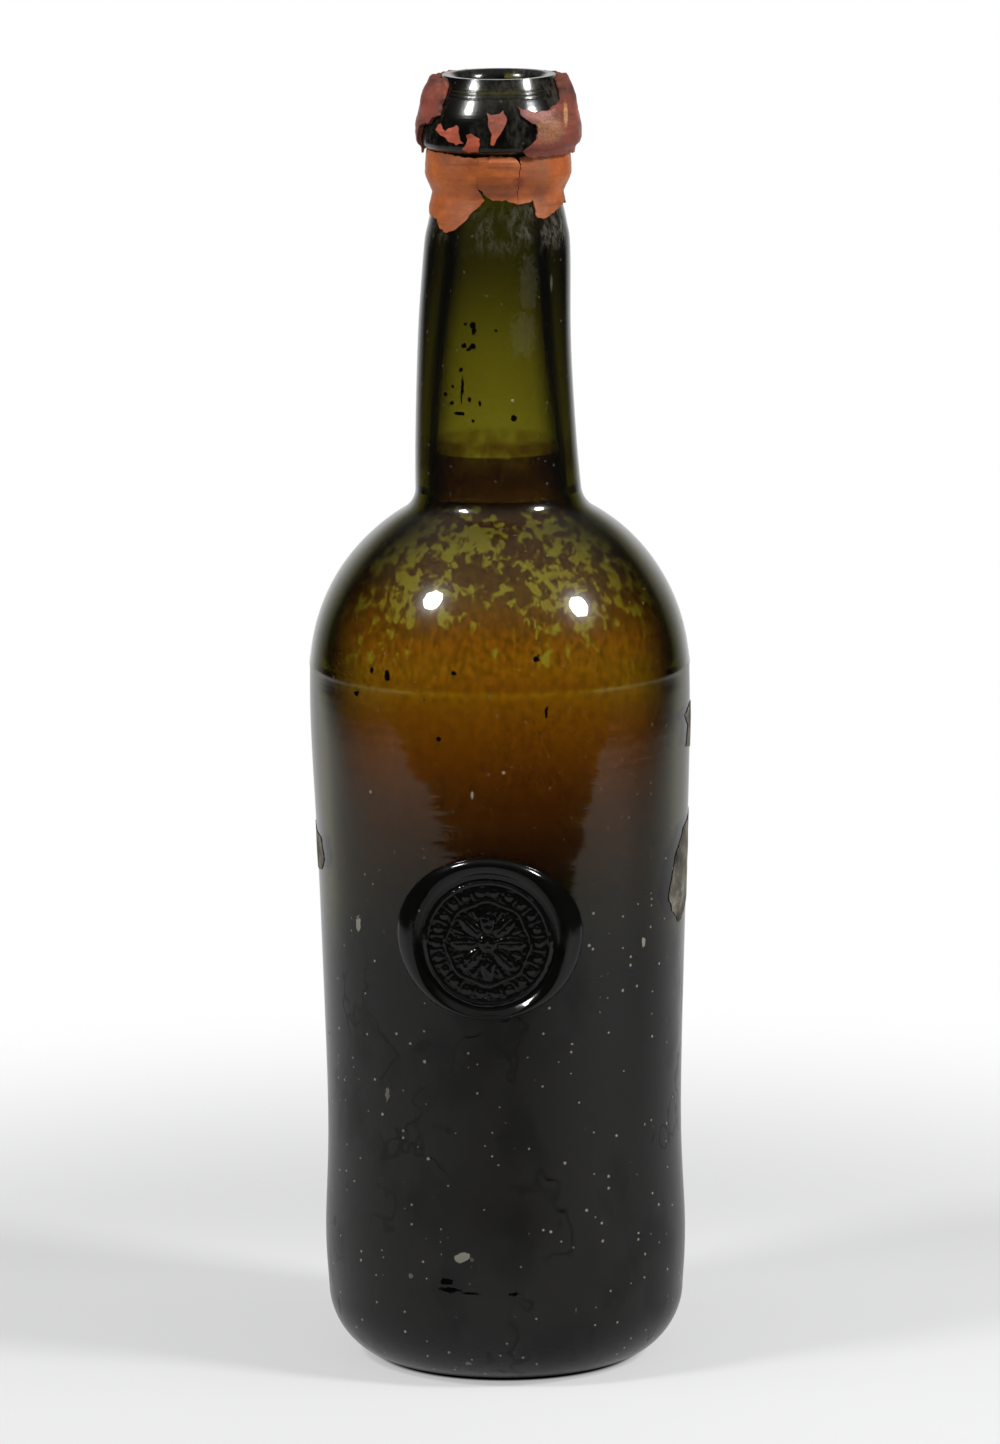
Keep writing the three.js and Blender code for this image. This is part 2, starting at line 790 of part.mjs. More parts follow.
const OLIVE_GLASS = { color: 0x2b2508, roughness: 0.08, metalness: 0 };
const BLACK_GLASS = { color: 0x0b0b0a, roughness: 0.06, metalness: 0 };
const BRICK_WAX = { color: 0x91522a, roughness: 0.45, metalness: 0 };
const BROWN_WAX = { color: 0x7d4436, roughness: 0.5, metalness: 0 };
const BROWN_CRUST = { color: 0x4a2c0c, roughness: 0.9, metalness: 0 };
const OLD_PAPER = { color: 0x7b6a55, roughness: 0.9, metalness: 0 };

const bottle = new THREE.Group();

function place(name, made, finish) {
  const leaned = reshape(geometryOf(made), (x, y, z) => [x + leanAt(z), y, z]);
  leaned.computeVertexNormals();
  const mesh = new THREE.Mesh(leaned, new THREE.MeshStandardMaterial(finish));
  mesh.name = name;
  bottle.add(mesh);
}

place("bottle_body", bottleBody(), OLIVE_GLASS);
place("lip_collar", lipCollar(), BLACK_GLASS);
place("string_ring", stringRing(), BLACK_GLASS);
place("glass_seal", glassSeal(), BLACK_GLASS);
place("wine_crust", wineCrust(), BROWN_CRUST);

const skirt = skirtShell();
for (const [name, outline] of Object.entries(SKIRT_PATCHES)) {
  place(name, patch(skirt, outline, RING_BOTTOM_D), BRICK_WAX);
}
const coat = collarCoat(WAX_LIP);
for (const [name, outline] of Object.entries(COAT_PATCHES)) {
  place(name, patch(coat, outline, 0), BROWN_WAX);
}
const thinCoat = collarCoat(WAX);
for (const [name, outline] of Object.entries(FLAKE_PATCHES)) {
  place(name, patch(thinCoat, outline, 0), BROWN_WAX);
}
for (const [name, outline] of Object.entries(PAPER_SCRAPS)) {
  place(name, paperScrap(outline), OLD_PAPER);
}

export default bottle;
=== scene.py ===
# %% [markdown]
# # An old wine bottle in dark olive glass
# The bottle was blown in a mould about two centuries ago. Its collar and string ring are glass
# laid on by hand, a gob of glass on its front carries a stamped seal, and broken sealing wax still
# clings to its mouth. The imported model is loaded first, because every piece made here takes the
# place of one of its pieces.

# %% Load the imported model
from functools import partial
from math import atan, cos, degrees, hypot, pi, radians, sin

import bmesh
import bpy
import numpy as np
from mathutils import Matrix, Vector, noise


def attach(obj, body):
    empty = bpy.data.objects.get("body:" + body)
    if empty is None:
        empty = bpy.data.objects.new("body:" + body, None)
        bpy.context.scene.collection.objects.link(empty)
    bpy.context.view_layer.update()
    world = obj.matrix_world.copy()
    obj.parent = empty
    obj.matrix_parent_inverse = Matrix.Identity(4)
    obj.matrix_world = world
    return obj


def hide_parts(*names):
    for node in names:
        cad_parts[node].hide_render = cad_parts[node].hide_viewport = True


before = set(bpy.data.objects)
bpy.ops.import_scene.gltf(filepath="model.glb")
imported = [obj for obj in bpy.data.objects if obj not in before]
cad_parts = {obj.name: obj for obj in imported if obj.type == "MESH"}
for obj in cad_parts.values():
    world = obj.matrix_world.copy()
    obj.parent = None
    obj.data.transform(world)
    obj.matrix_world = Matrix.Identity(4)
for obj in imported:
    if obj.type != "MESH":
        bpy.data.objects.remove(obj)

# noise_vector takes its offsets from a seed, which would be the clock's if it weren't set.
noise.seed_set(7)

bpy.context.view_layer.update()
scene = bpy.context.scene
MM = 0.001

# %% [markdown]
# ## The camera
# A long lens far from the bottle, a little above it and looking down, keeps the sides nearly
# parallel. The lens is worked out from the picture's height, because Blender fits its sensor to
# the longer side. A turn of a third of a degree round the line of sight gives the picture's tilt.

# %% Camera
PICTURE_HEIGHT = 1444
FOCAL_PIXELS = 8480
SENSOR = 36.0
CAMERA_AT = Vector((-0.00067, -1.852, 0.483))
PITCH = radians(10.4)
TILT = -0.0059

camera_data = bpy.data.cameras.new("camera")
camera_data.sensor_width = SENSOR
camera_data.lens = FOCAL_PIXELS * SENSOR / PICTURE_HEIGHT
camera_data.clip_end = 20
camera = bpy.data.objects.new("camera", camera_data)
camera.matrix_world = (
    Matrix.Translation(CAMERA_AT) @ Matrix.Rotation(pi / 2 - PITCH, 4, "X") @ Matrix.Rotation(TILT, 4, "Z")
)
scene.collection.objects.link(camera)
scene.camera = camera
scene.view_settings.view_transform = "Standard"
print("lens", round(camera_data.lens, 1), "mm")

# %% [markdown]
# ## Small helpers for node trees
# Every material below is a tree of nodes. These helpers add nodes to the tree that was started
# last, which is always called tree, so that each material reads as a list of what it does.

# %% Node helpers


def add(kind, values=(), **settings):
    """Adds a node. values sets its inputs: a socket, or a node's first output, is linked to them."""
    node = tree.nodes.new("ShaderNode" + kind)
    for name, value in settings.items():
        setattr(node, name, value)
    for name, value in dict(values).items():
        if isinstance(value, bpy.types.Node):
            value = value.outputs[0]
        if isinstance(value, bpy.types.NodeSocket):
            tree.links.new(value, node.inputs[name])
        else:
            node.inputs[name].default_value = value
    return node


def calc(operation, *values, clamp=False):
    """One Math node's result."""
    return add("Math", dict(enumerate(values)), operation=operation, use_clamp=clamp).outputs[0]


def times(value, other):
    return calc("MULTIPLY", value, other)


def scaled(value, factor, offset):
    """value times factor, plus offset."""
    return calc("MULTIPLY_ADD", value, factor, offset)


def most(*values):
    """The largest of some values."""
    largest = values[0]
    for value in values[1:]:
        largest = calc("MAXIMUM", largest, value)
    return largest


def between(value, low, high, to_low=0.0, to_high=1.0):
    """A smooth step: to_low below low, to_high above high."""
    values = {0: value, 1: low, 2: high, 3: to_low, 4: to_high}
    return add("MapRange", values, interpolation_type="SMOOTHSTEP").outputs[0]


def falls(value, low, high):
    """A smooth step down: 1 below low, 0 above high."""
    return between(value, low, high, 1.0, 0.0)


def ramp(value, stops):
    """A colour ramp's colour. stops are (place, colour), and one number stands for a grey."""
    node = add("ValToRGB", {0: value})
    elements = node.color_ramp.elements
    while len(elements) < len(stops):
        elements.new(0.5)
    for element, (place, colour) in zip(elements, stops):
        element.position = place
        element.color = (*colour, 1) if isinstance(colour, tuple) else (colour, colour, colour, 1)
    return node.outputs[0]


def blend(share, first, second, kind="MIX"):
    """Mixes two colours by a share."""
    values = {0: share, 6: first, 7: second}
    return add("Mix", values, data_type="RGBA", blend_type=kind).outputs[2]


def rgb(*screen):
    """A colour as seen on a screen, 0 to 255, as the light values that shaders use."""
    shares = (value / 255 for value in screen)
    return tuple(v / 12.92 if v <= 0.04045 else ((v + 0.055) / 1.055) ** 2.4 for v in shares)


def rgba(*screen):
    return (*rgb(*screen), 1)


WHITE = (1, 1, 1, 1)


def on_object():
    """The place on the object, in metres."""
    return add("TexCoord").outputs["Object"]


def parts(vector):
    """A vector's x, y and z."""
    return add("SeparateXYZ", {0: vector}).outputs


def bumped(strength, distance, height):
    """A normal raised by a height."""
    return add("Bump", {"Strength": strength, "Distance": distance, "Height": height})


def mix(share, first, second):
    """Mixes two shaders by a share."""
    return add("MixShader", {0: share, 1: first, 2: second})


def material(name):
    """Starts a material's tree."""
    global tree
    made = bpy.data.materials.new(name)
    made.use_nodes = True
    tree = made.node_tree
    tree.nodes.clear()
    return made


def show(shader, **more):
    """Ends a material with its surface."""
    add("OutputMaterial", {"Surface": shader, **more})


# %% [markdown]
# ## The room
# Dark glass shows its room more than itself: the pale edges and the broad soft bands are all
# reflections. The room is dark in front and pale above and behind. What is seen directly, or
# straight through the glass, is white in every direction. A ray that was mirrored once on its way
# gets the mirrored room, also where it leaves the glass again, so Glossy Depth tells them apart.

# %% World
ROOM_DARK = 0.008
ROOM_ABOVE = 0.22
ROOM_BEHIND = 0.8
ROOM_ON_DULL_THINGS = 0.22

world = bpy.data.worlds.new("studio_room")
scene.world = world
world.use_nodes = True
tree = world.node_tree
tree.nodes.clear()
direction = add("TexCoord").outputs["Generated"]
x, y, z = parts(direction)
side = calc("ABSOLUTE", calc("ARCTAN2", x, times(y, -1.0)))
height = calc("ARCSINE", z)
above = between(height, radians(22), radians(62), ROOM_DARK, ROOM_ABOVE)
behind = between(side, radians(129), radians(164), 0.0, ROOM_BEHIND)
low = between(height, radians(8), radians(26), 1.0, 0.14)
behind = times(behind, low)
mirror = most(above, behind)
path = add("LightPath").outputs
unmirrored = calc("LESS_THAN", path["Glossy Depth"], 0.5)
straight = times(path["Is Transmission Ray"], unmirrored)
direct = most(path["Is Camera Ray"], straight)
shiny = most(path["Is Glossy Ray"], path["Is Transmission Ray"])
seen = add("Background", {"Color": WHITE, "Strength": 1.0})
mirrored = add("Background", {"Color": WHITE, "Strength": mirror})
soft = add("Background", {"Color": (0.95, 0.97, 1, 1), "Strength": ROOM_ON_DULL_THINGS})
lit = mix(shiny, soft, mirrored)
shown = mix(direct, lit, seen)
add("OutputWorld", {"Surface": shown})
print("world with", len(tree.nodes), "nodes")

# %% [markdown]
# ## The lamps
# Two round lamps stand in front, to the left and right and rather high. Their places come from
# the two bright spots on the shoulder, which is nearly a ball: a mirror sends each spot back to
# its lamp. Two tall panels at the sides throw the wide, faint shadows.

# %% Lamps
SHOULDER_CENTRE = Vector((-0.0007, 0, 0.1548))


def lamp(name, shape, size, power, place, target, glossy=True):
    data = bpy.data.lights.new(name, "AREA")
    data.shape = shape
    data.size = size[0]
    if len(size) > 1:
        data.size_y = size[1]
    data.energy = power
    made = bpy.data.objects.new(name, data)
    made.location = place
    made.rotation_euler = (target - place).to_track_quat("-Z", "Y").to_euler()
    made.visible_camera = False
    made.visible_transmission = False
    made.visible_glossy = glossy
    scene.collection.objects.link(made)


LAMP_DISTANCE = 1.3
TOWARDS = {"lamp_left": ((-0.598, -0.382, 0.705), 9), "lamp_right": ((0.693, -0.352, 0.629), 11)}
for name, (towards, power) in TOWARDS.items():
    place = SHOULDER_CENTRE + LAMP_DISTANCE * Vector(towards).normalized()
    lamp(name, "DISK", (0.25,), power, place, SHOULDER_CENTRE)
for name, way, power in (("panel_left", -1, 1.9), ("panel_right", 1, 2.6)):
    place = Vector((0.8 * way, -0.16, 0.33))
    lamp(name, "RECTANGLE", (0.4, 0.7), power, place, Vector((0, 0, 0.12)), glossy=False)

# %% [markdown]
# ## The floor
# A round sheet carries the shadow. It fades to the white of the room before its edge, and it is
# clear from below, so that the foot can be looked at. In the glass it is mirrored as a table top
# with straight front and side edges: the lower half of the body shows it as a dim grey field.

# %% Floor
FLOOR_R = 1.0
TABLE_FRONT = (0.46, 0.36)  # how far in front of the bottle the edge lies, left and right
TABLE_SIDE = 0.7
TABLE_LIGHT = 0.35
CONTACT_R = 0.029
FADES = (0.13, 0.37)  # the sheet fades to white between these distances from the bottle
SHEET_TONE = 0.375

bm = bmesh.new()
bmesh.ops.create_circle(bm, cap_ends=True, segments=96, radius=FLOOR_R)
floor_mesh = bpy.data.meshes.new("floor")
bm.to_mesh(floor_mesh)
bm.free()
floor = bpy.data.objects.new("floor", floor_mesh)
floor.location.z = -0.0001
scene.collection.objects.link(floor)

floor_paint = material("pale_floor")
floor_mesh.materials.append(floor_paint)
where = on_object()
x, y, z = parts(where)
radius = add("VectorMath", {0: where}, operation="LENGTH").outputs["Value"]
fade = between(radius, *FADES)
# Painted contact shadow: the sheet is painted black where the foot stands on it, since no light gets under the
# heel.
lit = between(radius, CONTACT_R - 0.001, CONTACT_R + 0.001)
paper_tone = times(lit, SHEET_TONE)
paper_colour = add("CombineColor", {0: paper_tone, 1: paper_tone, 2: paper_tone})
paper = add("BsdfDiffuse", {"Color": paper_colour})
# The sheet also glows on its own, a painted fill light that lifts its shadows: a little less behind the bottle,
# which paints shade there, and a little more to the right.
painted_glow_strength = calc("ADD", between(y, 0.04, 0.15, 0.42, 0.33), between(x, -0.05, 0.1, 0.0, 0.03))
glow = add("Emission", {"Color": WHITE, "Strength": times(lit, painted_glow_strength)})
sheet = add("AddShader", {0: paper, 1: glow})
clear = add("BsdfTransparent")
faded = mix(fade, sheet, clear)
aside = calc("ABSOLUTE", x)
middle_of_edge = between(x, -0.2, 0.3, -TABLE_FRONT[0], -TABLE_FRONT[1])
edge_line = scaled(aside, between(x, -0.1, 0.2, 0.2, 0.06), middle_of_edge)
front = between(calc("SUBTRACT", y, edge_line), -0.006, 0.006)
sides = between(aside, TABLE_SIDE - 0.2, TABLE_SIDE + 0.15, 1.0, 0.06)
back = between(y, 0.1, 0.5, TABLE_LIGHT, 1.7 * TABLE_LIGHT)
shade = times(between(y, -0.4, -0.1, 0.45, 0.0), falls(aside, 0.0, 0.35))
table_light = times(times(front, sides), times(back, calc("SUBTRACT", 1.0, shade)))
# Painted contact shadow in the mirrored table: it is black round the foot, so the heel's underside shows a dark
# line.
table_light = times(table_light, between(radius, CONTACT_R, CONTACT_R + 0.0025))
lift_right = times(between(x, 0.0, 0.35, 0.0, 0.24), between(y, -0.15, 0.05, 1.0, -0.6))
table_light = times(table_light, calc("ADD", lift_right, 1.04))
table = add("Emission", {"Color": WHITE, "Strength": table_light})
mirrored_once = calc("GREATER_THAN", add("LightPath").outputs["Glossy Depth"], 0.5)
either = mix(mirrored_once, faded, table)
below = add("NewGeometry").outputs["Backfacing"]
one_way = mix(below, either, clear)
show(one_way)
print("floor radius", FLOOR_R)

# %% [markdown]
# ## Lines for a turned shape
# A bottle is a turned shape: one line, spun round. The lines are drawn in millimetres as radius
# and height. A smooth line through a few measured points is enough for the body's slow curves,
# and arcs make the heel and the shoulder.

# %% Line helpers


def through(points, steps):
    """A smooth line through points, with this many steps between each two."""
    ends = [points[0], *points, points[-1]]
    line = []
    for k in range(len(points) - 1):
        a, b, c, d = (np.array(p, float) for p in ends[k:k + 4])
        for t in np.arange(steps) / steps:
            bend = 2 * a - 5 * b + 4 * c - d + t * (3 * b - a - 3 * c + d)
            line.append(tuple(b + 0.5 * t * (c - a + t * bend)))
    return line + [tuple(points[-1])]


def arc(centre, radii, start, end, steps):
    """Part of an ellipse, by its angles from the radius direction."""
    turns = np.linspace(start, end, steps + 1)
    return [(centre[0] + radii[0] * cos(t), centre[1] + radii[1] * sin(t)) for t in turns]


def beside(line, distance):
    """The same line moved sideways, to the right of the way it runs."""
    points = np.array(line)
    run = np.gradient(points, axis=0)
    run /= np.linalg.norm(run, axis=1)[:, None]
    return [tuple(p) for p in points + distance * np.column_stack((run[:, 1], -run[:, 0]))]


def smooth(value, low, high):
    """A smooth step from 0 at low to 1 at high."""
    share = min(max((value - low) / (high - low), 0), 1)
    return share * share * (3 - 2 * share)


def noise_at(x, y, z):
    return noise.noise(Vector((x, y, z)))


def noise_round(turn, waves, level):
    """Noise on a circle, which is larger for more waves. turn is in degrees."""
    return noise_at(waves * sin(radians(turn)), waves * cos(radians(turn)), level)


def radius_at(line, height):
    """The radius of a rising line at a height."""
    return float(np.interp(height, [z for _, z in line], [r for r, _ in line]))


# %% [markdown]
# ## The leaning centre line
# The neck was finished by hand, so the bottle's centre line wanders by a millimetre or so. Each
# mesh is first made straight and then leaned, and the same line leans them all.

# %% Lean
HEIGHT = 287.4
LEAN = [
    (0, 0), (0.25, -0.2), (0.4, -0.3), (0.52, -0.65), (0.61, -0.6), (0.66, -0.5), (0.72, -1.2), (0.8, -1.4),
    (0.88, -0.6), (1, -0.1),
]
lean_line = np.array(through(LEAN, 12))


def lean(height):
    """How far the centre line stands to the right at a height, in millimetres."""
    return float(np.interp(height / HEIGHT, lean_line[:, 0], lean_line[:, 1]))


def down(depth):
    """The height of a place given by its depth under the lip."""
    return HEIGHT - depth


print("the centre line leans by", lean_line[:, 1].min(), "to", lean_line[:, 1].max(), "mm")


# %% Make and keep a piece


def piece(bm, name, slot, finishes, *nodes, sharp=50):
    """Leans a mesh given in millimetres, scales it to metres and puts it in the place of CAD nodes."""
    for v in bm.verts:
        v.co = Vector((v.co.x + lean(v.co.z), v.co.y, v.co.z)) * MM
    mesh = bpy.data.meshes.new(name)
    bm.to_mesh(mesh)
    bm.free()
    mesh.shade_smooth()
    mesh.set_sharp_from_angle(angle=radians(sharp))
    for finish in finishes:
        mesh.materials.append(finish)
    made = bpy.data.objects.new(name, mesh)
    scene.collection.objects.link(made)
    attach(made, "root")
    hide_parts(*nodes)
    print(name, len(mesh.polygons), "faces")
    return made


def spun(line, segments, closed=False):
    """Spins a line round the axis. A closed line makes a ring, and ends on the axis make a body."""
    bm = bmesh.new()
    verts = [bm.verts.new((0, -r, z)) for r, z in line]
    edges = [bm.edges.new(pair) for pair in zip(verts, verts[1:])]
    if closed:
        edges.append(bm.edges.new((verts[-1], verts[0])))
    bmesh.ops.spin(
        bm, geom=verts + edges, axis=(0, 0, 1), cent=(0, 0, 0), angle=2 * pi, steps=segments, use_merge=True,
    )
    bmesh.ops.remove_doubles(bm, verts=bm.verts, dist=1e-4)
    bmesh.ops.recalc_face_normals(bm, faces=bm.faces)
    return bm


# %% [markdown]
# ## The glass body
# One line runs from the hollow of the base, round the foot ring and heel, up the side, over the
# round shoulder and up the neck. It comes back down the inside and ends on top of the hollow.
# Modelling both faces of the wall matters here: dark glass gets its colour from how far the light
# has travelled in it, so thick places must really be thick.

# %% Body lines
BODY_R = 42.1
SHOULDER_Z = 154.8
BODY_WALL = 3.4
FOOT_R = 26.0
FOOT_WIDTH = 2.6
HEEL_HEIGHT = 15.5
HEEL_IN = 2.4
SWELL = (1.8, 29.0)
WAIST = (2.6, 56.0)
PUNT_HEIGHT = 32.0
PUNT_WALL = 7.0
MOAT_Z = 9.0
SEAM_RISE = 2.2
SEAM_PROUD = 0.06
NECK_FOOT_R = 18.3
NECK_FOOT_WALL = 4.0
NECK_FILLET = 6.0
NECK_SWELL_R = 16.2
NECK_SWELL_D = 39.5
NECK_TOP_R = 13.5
NECK_STRAIGHT_D = 25.4
NECK_END_D = 3.4
BORE_R = 9.3
BORE_D = 41.0

foot_out = FOOT_R + FOOT_WIDTH / 2
foot_in = FOOT_R - FOOT_WIDTH / 2
heel_out = BODY_R - HEEL_IN - foot_out
heel = [
    (foot_out + heel_out * max(cos(t), 0) ** 1.25, HEEL_HEIGHT * (1 + sin(t)))
    for t in np.linspace(-pi / 2, 0, 18)
]
seam_z = SHOULDER_Z + SEAM_RISE
body_side = through([
    (BODY_R - HEEL_IN, HEEL_HEIGHT), (BODY_R - SWELL[0], SWELL[1]), (BODY_R - WAIST[0], WAIST[1]),
    (BODY_R - 0.5 * WAIST[0], (WAIST[1] + SHOULDER_Z) / 2), (BODY_R - 0.05, SHOULDER_Z - 14),
    (BODY_R, seam_z - 1),
], 6)
seam = [(BODY_R + share * SEAM_PROUD, seam_z + up) for share, up in ((0.3, -0.45), (1, 0), (0.3, 0.45))]
side_out = NECK_FOOT_R + NECK_FILLET
rise = ((BODY_R + NECK_FILLET) ** 2 - side_out ** 2) ** 0.5
turn = atan(rise / side_out)
ball = arc((0, SHOULDER_Z), (BODY_R, BODY_R), (SEAM_RISE + 1) / BODY_R, turn, 26)
fillet = arc((side_out, SHOULDER_Z + rise), (NECK_FILLET, NECK_FILLET), turn + pi, pi, 9)
neck_foot_z = SHOULDER_Z + rise
neck_side = through([
    (NECK_FOOT_R, neck_foot_z),
    ((NECK_FOOT_R + NECK_SWELL_R) / 2 - 0.1, (neck_foot_z + down(NECK_SWELL_D)) / 2),
    (NECK_SWELL_R, down(NECK_SWELL_D)),
    ((NECK_SWELL_R + NECK_TOP_R) / 2 + 0.4, down(NECK_SWELL_D - 7)),
    (NECK_TOP_R, down(NECK_STRAIGHT_D)),
], 7)
outside = heel + body_side[1:] + seam + ball[1:] + fillet[1:] + neck_side[1:]
inner_neck = through([
    (NECK_FOOT_R - NECK_FOOT_WALL, neck_foot_z),
    ((NECK_FOOT_R - NECK_FOOT_WALL + BORE_R) / 2, (neck_foot_z + down(BORE_D)) / 2),
    (BORE_R, down(BORE_D)),
], 10)
inner_side = beside(body_side + ball[1:] + fillet[1:], -BODY_WALL)[:-1]
inside = inner_side + inner_neck + [(BORE_R, down(NECK_END_D))]
inner_r, inner_z = inside[0]
moat_r = FOOT_R + 2
moat = arc((moat_r, inner_z), (inner_r - moat_r, inner_z - MOAT_Z), 0, -pi / 2, 8)


def dome(start, pull_start, pull_end, end, steps):
    """A smooth dome: a curve from start to end, drawn towards the two points between them."""
    a, b, c, d = (np.array(p, float) for p in (start, pull_start, pull_end, end))
    return [tuple((1 - t) ** 3 * a + 3 * t * (1 - t) ** 2 * b + 3 * t * t * (1 - t) * c + t ** 3 * d)
            for t in np.linspace(0, 1, steps + 1)]


pulls = ((0.48 * FOOT_R, PUNT_HEIGHT), (foot_in - 3, 0.45 * PUNT_HEIGHT))
punt = dome((0, PUNT_HEIGHT), *pulls, (foot_in, 0), 16)
punt_top = PUNT_HEIGHT + PUNT_WALL
inner_dome = dome((moat_r, MOAT_Z), (moat_r - 4, MOAT_Z), (0.7 * FOOT_R, punt_top), (0, punt_top), 16)
body_line = punt + outside + [(NECK_TOP_R, down(NECK_END_D))] + inside[::-1] + moat[1:] + inner_dome[1:]
print("body line of", len(body_line), "points")

# %% [markdown]
# ## What the glass surface carries
# Old glass is never plain. Fine ripples run round the body and along the neck, small bubbles are
# drawn out in the wall, dust and a pale bloom lie on the surface, and dark specks stick inside
# the neck. One node group works these out from the place on the object, in metres. It gives a
# height for the bump, masks for dust and dark specks, and a roughness.

# %% Surface group


def group_of(name, inputs, outputs):
    """Starts a node group's tree. Returns it, the sockets given to it and those of its results."""
    global tree
    tree = bpy.data.node_groups.new(name, "ShaderNodeTree")
    for way, sockets in (("INPUT", inputs), ("OUTPUT", outputs)):
        for label, kind in sockets.items():
            tree.interface.new_socket(label, in_out=way, socket_type="NodeSocket" + kind)
    return tree, tree.nodes.new("NodeGroupInput").outputs, tree.nodes.new("NodeGroupOutput").inputs


def mapped(vector, scale, move=(0, 0, 0)):
    return add("Mapping", {"Vector": vector, "Location": move, "Scale": scale}).outputs[0]


def clouds(vector, scale, detail, rough=0.5, move=(0, 0, 0)):
    """A noise texture's value. scale is the number of its waves in a metre along x, y and z."""
    values = {"Vector": mapped(vector, scale, move), "Scale": 1.0, "Detail": detail, "Roughness": rough}
    return add("TexNoise", values).outputs[0]


def spots(vector, scale, size, share, seed):
    """Scattered dots: a cell holds a dot of about this size where its random value is under share."""
    cells = add("TexVoronoi", {"Vector": mapped(vector, scale, seed), "Scale": 1.0, "Randomness": 1.0})
    pick = add("SeparateColor", {0: cells.outputs["Color"]}).outputs
    wanted = calc("LESS_THAN", pick[0], share)
    reach = times(pick[1], size)
    dot = calc("SUBTRACT", 1.0, between(cells.outputs["Distance"], times(reach, 0.6), reach))
    return times(dot, wanted)


def marks_at(vector, marks, ragged):
    """Oval spots, each a centre and three half sizes in millimetres. ragged is a noise for their edges."""
    nearest = None
    for mark in marks:
        centre, scale = mark[:3], mark[3:]
        place = mapped(vector, [1 / (s * MM) for s in scale], [-c / s for c, s in zip(centre, scale)])
        far = add("VectorMath", {0: place}, operation="LENGTH").outputs["Value"]
        nearest = far if nearest is None else calc("MINIMUM", nearest, far)
    nearest = scaled(ragged, 1.6, calc("SUBTRACT", nearest, 0.8))
    return falls(nearest, 0.8, 1.05)


surface, given, result = group_of(
    "old_glass_surface",
    {"Place": "Vector"}, {"Height": "Float", "Dust": "Float", "Specks": "Float", "Roughness": "Float"},
)
place = given["Place"]
across, _, z = parts(place)
on_neck = between(z, 0.186, 0.2)
bands = clouds(place, (14, 14, 330), 3.0, 0.6)
swell = clouds(place, (28, 28, 60), 1.0, move=(3, 1, 7))
streaks = clouds(place, (420, 420, 12), 2.0, move=(5, 2, 0))
waves = clouds(place, (22, 22, 130), 2.0, move=(5, 5, 2))
body_height = scaled(waves, 0.22, times(bands, 0.13))
body_height = scaled(swell, 0.5, body_height)
neck_height = scaled(swell, 0.8, times(streaks, 0.2))
mixed = add("Mix", {0: on_neck, 2: body_height, 3: neck_height}, data_type="FLOAT").outputs[0]

# Flow lines: where a slow noise crosses its middle value, here and there, low on the body.
flow = clouds(place, (26, 26, 22), 4.0, 0.62, move=(8, 3, 5))
away = calc("ABSOLUTE", calc("SUBTRACT", flow, 0.5))
here = clouds(place, (40, 40, 34), 2.0, move=(1, 8, 2))
flow_line = times(falls(away, 0.0, 0.014), between(here, 0.46, 0.56))
flow_line = times(flow_line, falls(z, 0.085, 0.11))
mixed = scaled(flow_line, -0.1, mixed)
tree.links.new(mixed, result["Height"])

ragged_noise = clouds(place, (1100, 1100, 1100), 3.0)
fine_dust = spots(place, (620, 620, 620), 0.29, 0.24, (1, 5, 2))
fine_dust = times(fine_dust, between(z, 0.1, 0.125, 1.0, 0.2))
coarse_dust = spots(place, (170, 170, 170), 0.09, 0.16, (7, 3, 1))
seeds = spots(place, (260, 260, 62), 0.24, 0.03, (2, 8, 4))
bloom_noise = clouds(place, (1300, 1300, 500), 4.0, 0.7)
bloom_high = times(between(z, 0.2475, 0.2545), between(z, 0.262, 0.272, 1.0, 0.4))
SMUDGES = [(5.0, -15.5, 232.0, 3.2, 4, 5.5), (6.2, -15.5, 243.0, 2.2, 4, 7.0)]
smudge = marks_at(place, SMUDGES, ragged_noise)
bloom_patch = clouds(place, (210, 210, 110), 3.0, move=(3, 3, 8))
bloom_share = times(between(bloom_patch, 0.38, 0.62), between(across, -0.004, 0.009, 0.15, 0.3))
bloom = times(between(bloom_noise, 0.36, 0.62), times(bloom_high, bloom_share))
haze = times(on_neck, times(bloom_noise, 0.012))
bloom = most(bloom, times(smudge, times(bloom_noise, 0.1)), haze)
PALE_MARKS = [
    (-10.0, -39, 30.3, 1.5, 4, 1.0), (-9.2, -39, 30.9, 1.3, 4, 0.9), (-18.3, -36, 28.9, 0.35, 4, 0.3),
    (2.5, -17, 217.6, 0.35, 3, 0.35), (-6.8, -41, 134.6, 0.3, 4, 1.1), (30.6, -26, 98.5, 0.4, 4, 1.4),
    (-32.1, -25.4, 102.9, 0.5, 4, 1.8),
]
DULL_MARKS = [
    (-21.1, -34, 25.3, 0.6, 4, 0.6), (-8.4, -34.8, 5.5, 0.7, 4, 0.5), (-26.0, -30.2, 65.4, 0.5, 4, 1.6),
    (-7.6, -39.5, 30.1, 0.5, 4, 0.5),
]
pale = times(marks_at(place, PALE_MARKS, ragged_noise), 0.7)
dull = times(marks_at(place, DULL_MARKS, ragged_noise), 0.3)
dust = most(times(fine_dust, 0.7), times(coarse_dust, 0.7), times(seeds, 0.35), bloom, pale, dull)
tree.links.new(dust, result["Dust"])

